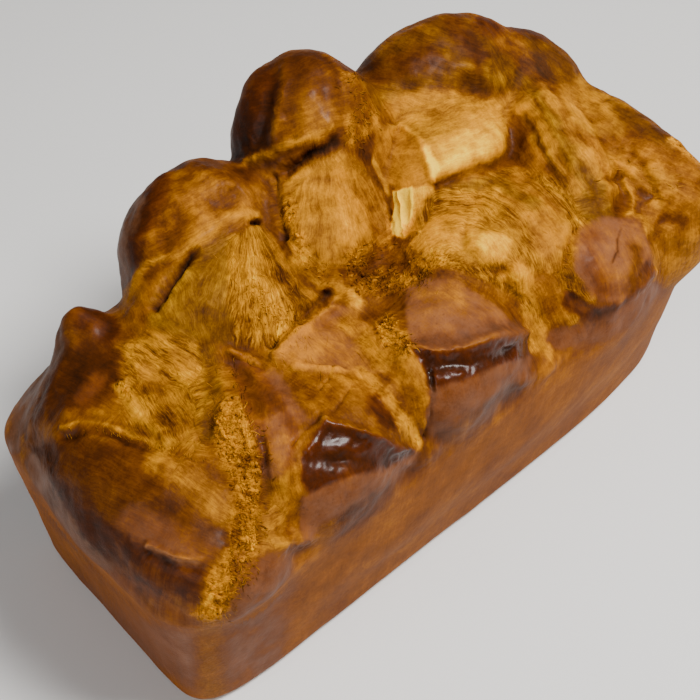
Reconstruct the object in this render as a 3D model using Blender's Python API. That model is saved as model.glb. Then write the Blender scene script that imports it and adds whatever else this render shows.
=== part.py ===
"""A tin-baked brioche loaf: straight tapered walls from the tin, and a tall crown of
bulging dough lobes in two rows with torn strands between them.

Units are metres, +Z is up, +X runs along the loaf, and the origin is at the bottom centre.
Run with: blender --background --python part.py
"""
import math

import bmesh
import bpy
import numpy as np

# Driving dimensions of the tin-shaped lower half
TIN_LENGTH = 0.262
TIN_WIDTH = 0.110
TIN_HEIGHT = 0.070
TIN_DRAFT = 0.005
NEAR_SQUARENESS = 10.0
FAR_SQUARENESS = 4.2
BASE_EDGE_RADIUS = 0.004
WALL_TOP_ROUNDING = 0.006

# Crown: the middle of the dough under the lobes, and how softly the lobes run together
CORE_CENTRE = np.array([0.002, 0.001, 0.050])
CORE_HALF = np.array([TIN_LENGTH / 2 - 0.003, TIN_WIDTH / 2 + 0.001, 0.042])
CORE_SQUARENESS = 3.0
LOBE_SQUARENESS = 2.2
SEAM_SOFTNESS = 0.0016

# Mesh density: cells along and across the crown, and rows of cells up the walls
CELLS_ALONG = 78
CELLS_ACROSS = 40
WALL_ROWS = 6

# The rays that find the surface start from a line through the middle of the loaf
SPINE_HALF = 0.060
SPINE_HEIGHT = 0.060
END_ARC = 0.096
RAY_REACH = 0.120
RAY_STEPS = 60
HALVINGS = 12

CRUST_COLOUR = (0.36, 0.135, 0.030, 1.0)
CRUST_ROUGHNESS = 0.42

MM = 0.001

# Each lobe is an ellipsoid of dough, in millimetres and degrees:
# name, centre (x, y, z), half sizes (long, wide, tall), heading of its length, pitch, roll
LOBES = (
    ("near_end_roll", (-107, -13, 75), (48, 27, 24), 94, 0, 0),
    ("near_left_dome", (-93, 26, 72), (30, 25, 27), 35, 0, -8),
    ("near_left_knob", (-96, 45, 86), (7, 6, 12), 60, 0, 0),
    ("near_torn_bridge", (-88, -10, 78), (36, 20, 22), 80, 0, 0),
    ("left_second", (-43, 46, 92), (30, 24, 33), 6, 4, -12),
    ("left_third", (10, 49, 102), (28, 26, 41), 8, 4, -10),
    ("left_fourth", (66, 46, 94), (40, 24, 35), -4, 6, -10),
    ("left_fifth", (101, 36, 85), (22, 24, 29), -20, -6, 0),
    ("far_end_roll", (108, -6, 76), (44, 20, 26), 88, 0, 0),
    ("middle_near", (-60, 22, 86), (29, 22, 26), -20, 0, 0),
    ("middle_second", (-14, 22, 90), (27, 20, 27), 66, 0, 0),
    ("middle_third", (42, 20, 93), (31, 20, 24), 12, 0, 0),
    ("middle_far", (82, 0, 86), (40, 17, 26), 64, 0, 0),
    ("golden_knot", (18, -14, 86), (26, 19, 20), -24, 0, 0),
    ("far_sweep", (46, -16, 82), (30, 17, 22), 60, 0, 0),
    ("pale_flap", (-50, -12, 88), (15, 13, 13), 8, 0, 0),
    ("right_twist", (-80, -28, 80), (28, 13, 24), 100, 6, 0),
    ("right_second", (-60, -38, 82), (24, 21, 21), 4, -4, 0),
    ("right_third", (-10, -37, 83), (28, 22, 22), 2, -4, 0),
    ("right_fourth", (58, -36, 72), (30, 22, 26), -4, -4, 0),
    ("right_fifth", (104, -32, 72), (22, 22, 24), -20, 0, 0),
)


def clear_scene():
    """Remove every object that the scene starts with."""
    for item in list(bpy.data.objects):
        bpy.data.objects.remove(item, do_unlink=True)


def turn_matrix(heading, pitch, roll):
    """Rows are the lobe's long, wide and tall directions."""
    h, p, r = (math.radians(v) for v in (heading, pitch, roll))
    about_z = np.array([[math.cos(h), math.sin(h), 0], [-math.sin(h), math.cos(h), 0], [0, 0, 1]])
    about_y = np.array([[math.cos(p), 0, math.sin(p)], [0, 1, 0], [-math.sin(p), 0, math.cos(p)]])
    about_x = np.array([[1, 0, 0], [0, math.cos(r), math.sin(r)], [0, -math.sin(r), math.cos(r)]])
    return about_x @ about_y @ about_z


def lump_gap(points, centre, half_sizes, turn, squareness):
    """Distance from points to the skin of a rounded lump, negative inside; 2 is an ellipsoid."""
    local = np.maximum(np.abs((points - centre) @ turn.T) / half_sizes, 1e-6)
    size = (local ** squareness).sum(axis=1) ** (1.0 / squareness)
    slope = np.linalg.norm(local ** (squareness - 1.0) / half_sizes, axis=1) * size ** (1.0 - squareness)
    return (size - 1.0) / slope


def tin_gap(points):
    """Distance to the tapered walls that the tin gives, negative inside; the sides bow outward."""
    x, y, z = points.T
    lean = TIN_DRAFT * (1.0 - np.clip(z / TIN_HEIGHT, 0.0, 1.0))
    low = np.clip((BASE_EDGE_RADIUS - z) / BASE_EDGE_RADIUS, 0.0, 1.0)
    tuck = BASE_EDGE_RADIUS * (1.0 - np.sqrt(1.0 - low ** 2))
    half_long = TIN_LENGTH / 2 - lean - tuck
    half_wide = TIN_WIDTH / 2 - lean - tuck
    power = np.where(x < 0.0, NEAR_SQUARENESS, FAR_SQUARENESS)
    u = np.maximum(np.abs(x) / half_long, 1e-6)
    v = np.maximum(np.abs(y) / half_wide, 1e-6)
    size = (u ** power + v ** power) ** (1.0 / power)
    slope = size ** (1.0 - power) * np.hypot(u ** (power - 1) / half_long, v ** (power - 1) / half_wide)
    plan = (size - 1.0) / slope
    above = z - TIN_HEIGHT
    rounded = np.hypot(np.maximum(plan + WALL_TOP_ROUNDING, 0.0),
                       np.maximum(above + WALL_TOP_ROUNDING, 0.0)) - WALL_TOP_ROUNDING
    return np.maximum(rounded, np.maximum(plan, above))


def loaf_gap(points):
    """Signed distance to the whole loaf: a soft union of the tin body, the core and the lobes."""
    gaps = [tin_gap(points), lump_gap(points, CORE_CENTRE, CORE_HALF, np.eye(3), CORE_SQUARENESS)]
    for _, centre, half_sizes, heading, pitch, roll in LOBES:
        gaps.append(lump_gap(points, np.array(centre) * MM, np.array(half_sizes) * MM,
                             turn_matrix(heading, pitch, roll), LOBE_SQUARENESS))
    stack = np.stack(gaps)
    nearest = stack.min(axis=0)
    weight = np.exp(-(stack - nearest) / SEAM_SOFTNESS).sum(axis=0)
    return nearest - SEAM_SOFTNESS * np.log(weight)


def cast(origins, directions):
    """The outermost point of the loaf along each ray."""
    reach = np.full(len(origins), RAY_REACH)
    found = np.zeros(len(origins), dtype=bool)
    step = RAY_REACH / RAY_STEPS
    for _ in range(RAY_STEPS - 1):
        waiting = ~found
        probe = origins[waiting] + directions[waiting] * (reach[waiting] - step)[:, None]
        inside = loaf_gap(probe) < 0.0
        rows = np.nonzero(waiting)[0]
        found[rows[inside]] = True
        reach[rows[~inside]] -= step
    inner, outer = reach - step, reach.copy()
    for _ in range(HALVINGS):
        middle = (inner + outer) / 2
        inside = loaf_gap(origins + directions * middle[:, None]) < 0.0
        inner = np.where(inside, middle, inner)
        outer = np.where(inside, outer, middle)
    return origins + directions * inner[:, None]


def crown_rays():
    """Rays that fan out evenly over the crown, from a line through the middle of the loaf.

    Across and beyond the line's ends, a square patch of steps is spread over a quarter sphere.
    """
    run = np.linspace(-1.0, 1.0, CELLS_ALONG + 1) * (SPINE_HALF + END_ARC)
    end = np.sign(run) * np.clip((np.abs(run) - SPINE_HALF) / END_ARC, 0.0, 1.0)
    a, b = np.meshgrid(end, np.linspace(-1.0, 1.0, CELLS_ACROSS + 1), indexing="ij")
    ahead = a * np.sqrt(1.0 - b ** 2 / 2)
    aside = b * np.sqrt(1.0 - a ** 2 / 2)
    out = np.hypot(ahead, aside)
    rise = (1.0 - out) * math.pi / 2
    level = np.cos(rise) / np.maximum(out, 1e-9)
    directions = np.stack([level * ahead, level * aside, np.sin(rise)], axis=2)
    origins = np.zeros_like(directions)
    origins[:, :, 0] = np.clip(run, -SPINE_HALF, SPINE_HALF)[:, None]
    origins[:, :, 2] = SPINE_HEIGHT
    return origins, directions


def rim_walk():
    """Grid places along the crown's edge, anticlockwise seen from above."""
    a, b = CELLS_ALONG, CELLS_ACROSS
    walk = [(i, 0) for i in range(a)]
    walk += [(a, j) for j in range(b)]
    walk += [(i, b) for i in range(a, 0, -1)]
    walk += [(0, j) for j in range(b, 0, -1)]
    return walk


def build_loaf():
    """One closed body: crown grid, wall rows and a flat base."""
    origins, directions = crown_rays()
    crown = cast(origins.reshape(-1, 3), directions.reshape(-1, 3)).reshape(origins.shape)
    walk = rim_walk()
    starts = np.array([origins[i, j] for i, j in walk])
    outward = np.array([directions[i, j] for i, j in walk])
    mesh = bmesh.new()
    grid = [[mesh.verts.new(point) for point in line] for line in crown]
    for i in range(CELLS_ALONG):
        for j in range(CELLS_ACROSS):
            mesh.faces.new((grid[i][j], grid[i + 1][j], grid[i + 1][j + 1], grid[i][j + 1]))
    above = [grid[i][j] for i, j in walk]
    for row in range(1, WALL_ROWS + 1):
        starts[:, 2] = SPINE_HEIGHT * (1.0 - row / WALL_ROWS)
        ring = [mesh.verts.new(point) for point in cast(starts, outward)]
        for k in range(len(ring)):
            n = (k + 1) % len(ring)
            mesh.faces.new((ring[k], ring[n], above[n], above[k]))
        above = ring
    close_base(mesh, above)
    bmesh.ops.triangulate(mesh, faces=mesh.faces[:])
    bmesh.ops.recalc_face_normals(mesh, faces=mesh.faces[:])
    centre_in_plan(mesh)
    return mesh


def close_base(mesh, ring):
    """Flat base: the lowest ring is joined to a line of points along the base's middle."""
    middle = {}
    for vert in ring:
        x = round(float(np.clip(vert.co.x, -SPINE_HALF, SPINE_HALF)), 5)
        if x not in middle:
            middle[x] = mesh.verts.new((x, 0.0, 0.0))
    keys = [round(float(np.clip(vert.co.x, -SPINE_HALF, SPINE_HALF)), 5) for vert in ring]
    for k, vert in enumerate(ring):
        n = (k + 1) % len(ring)
        here, there = middle[keys[k]], middle[keys[n]]
        corners = (ring[n], vert, here) if here is there else (ring[n], vert, here, there)
        mesh.faces.new(corners)


def centre_in_plan(mesh):
    """Slide the loaf so that the origin is under the middle of its bounding box."""
    points = np.array([vert.co for vert in mesh.verts])
    middle = (points.min(axis=0) + points.max(axis=0)) / 2
    bmesh.ops.translate(mesh, verts=mesh.verts[:], vec=(-middle[0], -middle[1], 0.0))


def crust_material():
    """Baked egg-washed crust."""
    material = bpy.data.materials.new("crust")
    material.use_nodes = True
    shader = material.node_tree.nodes["Principled BSDF"]
    shader.inputs["Base Color"].default_value = CRUST_COLOUR
    shader.inputs["Roughness"].default_value = CRUST_ROUGHNESS
    shader.inputs["Metallic"].default_value = 0.0
    return material


def main():
    clear_scene()
    shape = build_loaf()
    data = bpy.data.meshes.new("loaf")
    shape.to_mesh(data)
    shape.free()
    data.shade_smooth()
    data.materials.append(crust_material())
    loaf = bpy.data.objects.new("loaf", data)
    bpy.context.scene.collection.objects.link(loaf)


main()
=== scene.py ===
"""Looks of a tin-baked brioche loaf: the crust's relief and colours, torn strands, crumbs, light and camera.

The file is laid out as an add-on and is run as a script.
"""

import math

import bpy
import numpy as np
from bpy.props import FloatProperty, FloatVectorProperty, IntProperty, PointerProperty
from mathutils import Matrix, Vector
from mathutils.kdtree import KDTree


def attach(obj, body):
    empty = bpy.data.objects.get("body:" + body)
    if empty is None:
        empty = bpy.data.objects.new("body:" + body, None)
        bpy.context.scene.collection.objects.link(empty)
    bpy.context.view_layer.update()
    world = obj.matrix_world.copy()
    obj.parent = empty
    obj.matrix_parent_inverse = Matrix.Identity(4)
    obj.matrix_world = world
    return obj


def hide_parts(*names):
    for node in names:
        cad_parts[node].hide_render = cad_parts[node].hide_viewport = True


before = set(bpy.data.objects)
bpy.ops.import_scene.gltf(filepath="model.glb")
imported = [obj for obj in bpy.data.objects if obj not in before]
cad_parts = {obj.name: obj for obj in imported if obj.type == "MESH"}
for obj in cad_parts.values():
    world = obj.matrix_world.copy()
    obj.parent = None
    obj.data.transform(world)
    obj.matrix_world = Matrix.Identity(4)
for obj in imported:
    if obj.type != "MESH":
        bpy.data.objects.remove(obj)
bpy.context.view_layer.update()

bl_info = {
    "name": "Brioche Loaf",
    "version": (1, 0, 0),
    "blender": (4, 5, 0),
    "location": "View3D > Sidebar > Brioche",
    "description": "Builds a tin-baked brioche loaf with torn, egg-washed crust, and its plain studio",
    "category": "Add Mesh",
}

MM = 0.001

# Driving dimensions of the tin-shaped lower half, in metres, as in the solid
TIN_LENGTH = 0.262
TIN_WIDTH = 0.110
TIN_HEIGHT = 0.070
TIN_DRAFT = 0.005
NEAR_SQUARENESS = 10.0
FAR_SQUARENESS = 4.2
BASE_EDGE_RADIUS = 0.004
WALL_TOP_ROUNDING = 0.006
PLAN_SHIFT = np.array([0.0016, -0.0075, 0.0])

CORE_CENTRE = np.array([0.002, 0.001, 0.050])
CORE_HALF = np.array([TIN_LENGTH / 2 - 0.003, TIN_WIDTH / 2 + 0.001, 0.042])
CORE_SQUARENESS = 3.0
LOBE_SQUARENESS = 2.2
SEAM_SOFTNESS = 0.0033

# The rays that find the surface start from a line through the middle of the loaf
SPINE_HALF = 0.060
SPINE_HEIGHT = 0.060
END_ARC = 0.096
RAY_REACH = 0.118
TRACE_STEPS = 26
TRACE_SHARE = 0.82
TRACE_TOLERANCE = 0.00002

# How far the crown's grid is evened out: share, lines near the border that keep their places, rounds
SLIDE_SHARE = 0.8
SLIDE_BORDER = 40
SLIDE_ROUNDS = 40

# Each lobe is an ellipsoid of dough, in millimetres and degrees:
# name, centre (x, y, z), half sizes (long, wide, tall), heading of its length, pitch, roll
LOBES = (
    ("near_end_roll", (-107, -13, 75), (48, 27, 24), 94, 0, 0),
    ("near_left_dome", (-93, 26, 72), (30, 25, 27), 35, 0, -8),
    ("near_left_knob", (-95.5, 43, 92), (7, 7, 12.5), 30, 0, 0),
    ("near_torn_bridge", (-88, -10, 78), (36, 20, 22), 80, 0, 0),
    ("left_second", (-43, 46, 92), (30, 24, 33), 6, 4, -12),
    ("left_third", (10, 49, 102), (28, 26, 41), 8, 4, -10),
    ("left_fourth", (66, 46, 94), (40, 24, 35), -4, 6, -10),
    ("left_fifth", (101, 36, 85), (22, 24, 29), -20, -6, 0),
    ("far_end_roll", (108, -6, 76), (44, 20, 26), 88, 0, 0),
    ("middle_near", (-60, 22, 86), (29, 22, 26), -20, 0, 0),
    ("middle_second", (-14, 22, 90), (27, 20, 27), 66, 0, 0),
    ("middle_third", (42, 20, 93), (31, 20, 24), 12, 0, 0),
    ("middle_far", (82, 0, 86), (40, 17, 26), 64, 0, 0),
    ("golden_knot", (18, -14, 86), (26, 19, 20), -24, 0, 0),
    ("far_sweep", (46, -16, 82), (30, 17, 22), 60, 0, 0),
    ("pale_flap", (-50, -12, 88), (15, 13, 13), 8, 0, 0),
    ("right_twist", (-80, -28, 80), (28, 13, 24), 100, 6, 0),
    ("right_second", (-60, -38, 82), (24, 21, 21), 4, -4, 0),
    ("right_third", (-10, -37, 83), (28, 22, 22), 2, -4, 0),
    ("right_fourth", (58, -36, 72), (30, 22, 26), -4, -4, 0),
    ("right_fifth", (104, -32, 72), (22, 22, 24), -20, 0, 0),
    ("near_left_shoulder", (-111, 36, 64), (16, 13, 16), 60, 0, 0),
)

# The photograph's camera, in degrees, pixels of its 700 by 700 image, and metres
PHOTO_SIZE = 700.0
VIEW_AZIMUTH = -42.41
VIEW_ELEVATION = 50.0
VIEW_ROLL = 0.74
FOCAL_PIXELS = 1400.0
VIEW_DISTANCE = 0.50197
VIEW_TARGET = np.array([-0.0097, -0.0012, 0.0523])
SENSOR = 36.0

# What the camera sees: size of a depth cell in pixels, cells beside the image, metres of hiding,
# and how often the share is averaged before and after the kneading
SIGHT_CELL = 3.0
SIGHT_MARGIN = 20
SIGHT_EDGE = 0.002
HIDDEN_DEPTHS = (0.006, 0.014)
SEEN_ROUNDS = (20, 12)

FINISH_VALUES = ("baked", "bloom", "gloss", "fibre", "crumb", "hue")

# Finishes of the crust: how far it is baked (0 cream, 1 almost black), bloom and sheen (a dusty pink film,
# which some finishes also use to paint a grey-pink sheen or a pink highlight), gloss (egg wash),
# fibre (torn strings), crumb, and hue (-1 olive, 1 red)
FINISHES = {
    "cream": (0.24, 0.00, 0.04, 0.28, 0.12, -0.5),
    "straw": (0.28, 0.00, 0.08, 0.40, 0.20, -0.3),
    "gold": (0.41, 0.00, 0.12, 0.45, 0.20, -0.1),
    "strings": (0.54, 0.00, 0.10, 0.85, 0.15, -0.3),
    "tan": (0.50, 0.05, 0.12, 0.42, 0.12, -0.2),
    "orange": (0.56, 0.00, 0.22, 0.18, 0.18, 0.1),
    "shaggy": (0.55, 0.00, 0.08, 0.70, 0.75, 0.0),
    "shaggy_dark": (0.60, 0.00, 0.08, 0.55, 0.55, 0.0),
    "fringe": (0.43, 0.00, 0.05, 0.70, 0.70, -0.1),
    "amber": (0.61, 0.00, 0.36, 0.20, 0.08, 0.0),
    "olive": (0.62, 0.00, 0.22, 0.36, 0.06, -0.9),
    "brown": (0.73, 0.00, 0.42, 0.15, 0.03, 0.0),
    "mahogany": (0.83, 0.00, 0.42, 0.08, 0.00, 0.5),
    "chocolate": (0.84, 0.05, 0.95, 0.05, 0.00, 1.0),
    # Dark crust painted into slits, holes and gaps as their shade
    "gap": (0.80, 0.00, 0.00, 0.20, 0.40, 0.0),
    "pink": (0.60, 0.72, 0.20, 0.05, 0.12, 0.3),
    "pink_tan": (0.48, 0.42, 0.15, 0.22, 0.12, 0.2),
    "red_brown": (0.66, 0.18, 0.38, 0.12, 0.00, 0.6),
    # Dark crust under a grey-pink sheen painted through its bloom
    "purple": (0.70, 0.62, 0.40, 0.00, 0.00, 0.5),
    "orange_light": (0.50, 0.00, 0.20, 0.20, 0.18, 0.0),
    "olive_dark": (0.69, 0.00, 0.30, 0.30, 0.05, -0.6),
    "butter": (-0.06, 0.00, 0.08, 0.25, 0.10, 0.0),
    "pale": (0.39, 0.00, 0.06, 0.36, 0.16, -0.4),
    "sand": (0.49, 0.00, 0.12, 0.12, 0.05, -0.4),
    "rose_brown": (0.62, 0.34, 0.42, 0.06, 0.02, 0.4),
    # A painted pink highlight
    "highlight_pink": (0.50, 0.85, 0.92, 0.00, 0.00, 0.5),
    "flap_pink": (0.45, 0.52, 0.20, 0.08, 0.15, 0.3),
    "umber": (0.79, 0.00, 0.32, 0.10, 0.00, 0.1),
    "orange_pale": (0.45, 0.00, 0.20, 0.15, 0.12, 0.0),
    "purple_dark": (0.80, 0.45, 0.35, 0.00, 0.00, 0.4),
    "grey_sheen": (0.86, 0.70, 0.52, 0.00, 0.00, -0.2),
    "plain_wall": (0.54, 0.10, 0.10, 0.00, 0.00, 0.5),
    "plain_crown": (0.64, 0.04, 0.32, 0.25, 0.00, 0.1),
    "plain_torn": (0.61, 0.00, 0.20, 0.30, 0.20, 0.0),
}

# On hidden sides: what a steep flank adds to the crown's finish (darker, glossier, and more bloom, which
# paints a grey-pink sheen), heights between which wall turns to crown and seams begin, half width of a seam
# and what it varies by, in metres, and a seam's share
FLANK_CHANGE = np.array([0.15, 0.14, 0.20, 0.00, 0.00, 0.0])
WALL_TO_CROWN = (0.063, 0.083)
SEAM_HEIGHTS = (0.062, 0.084)
SEAM_WIDTH = 0.0062
SEAM_VARIES = 0.0035
SEAM_SHARE = 0.85

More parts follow.
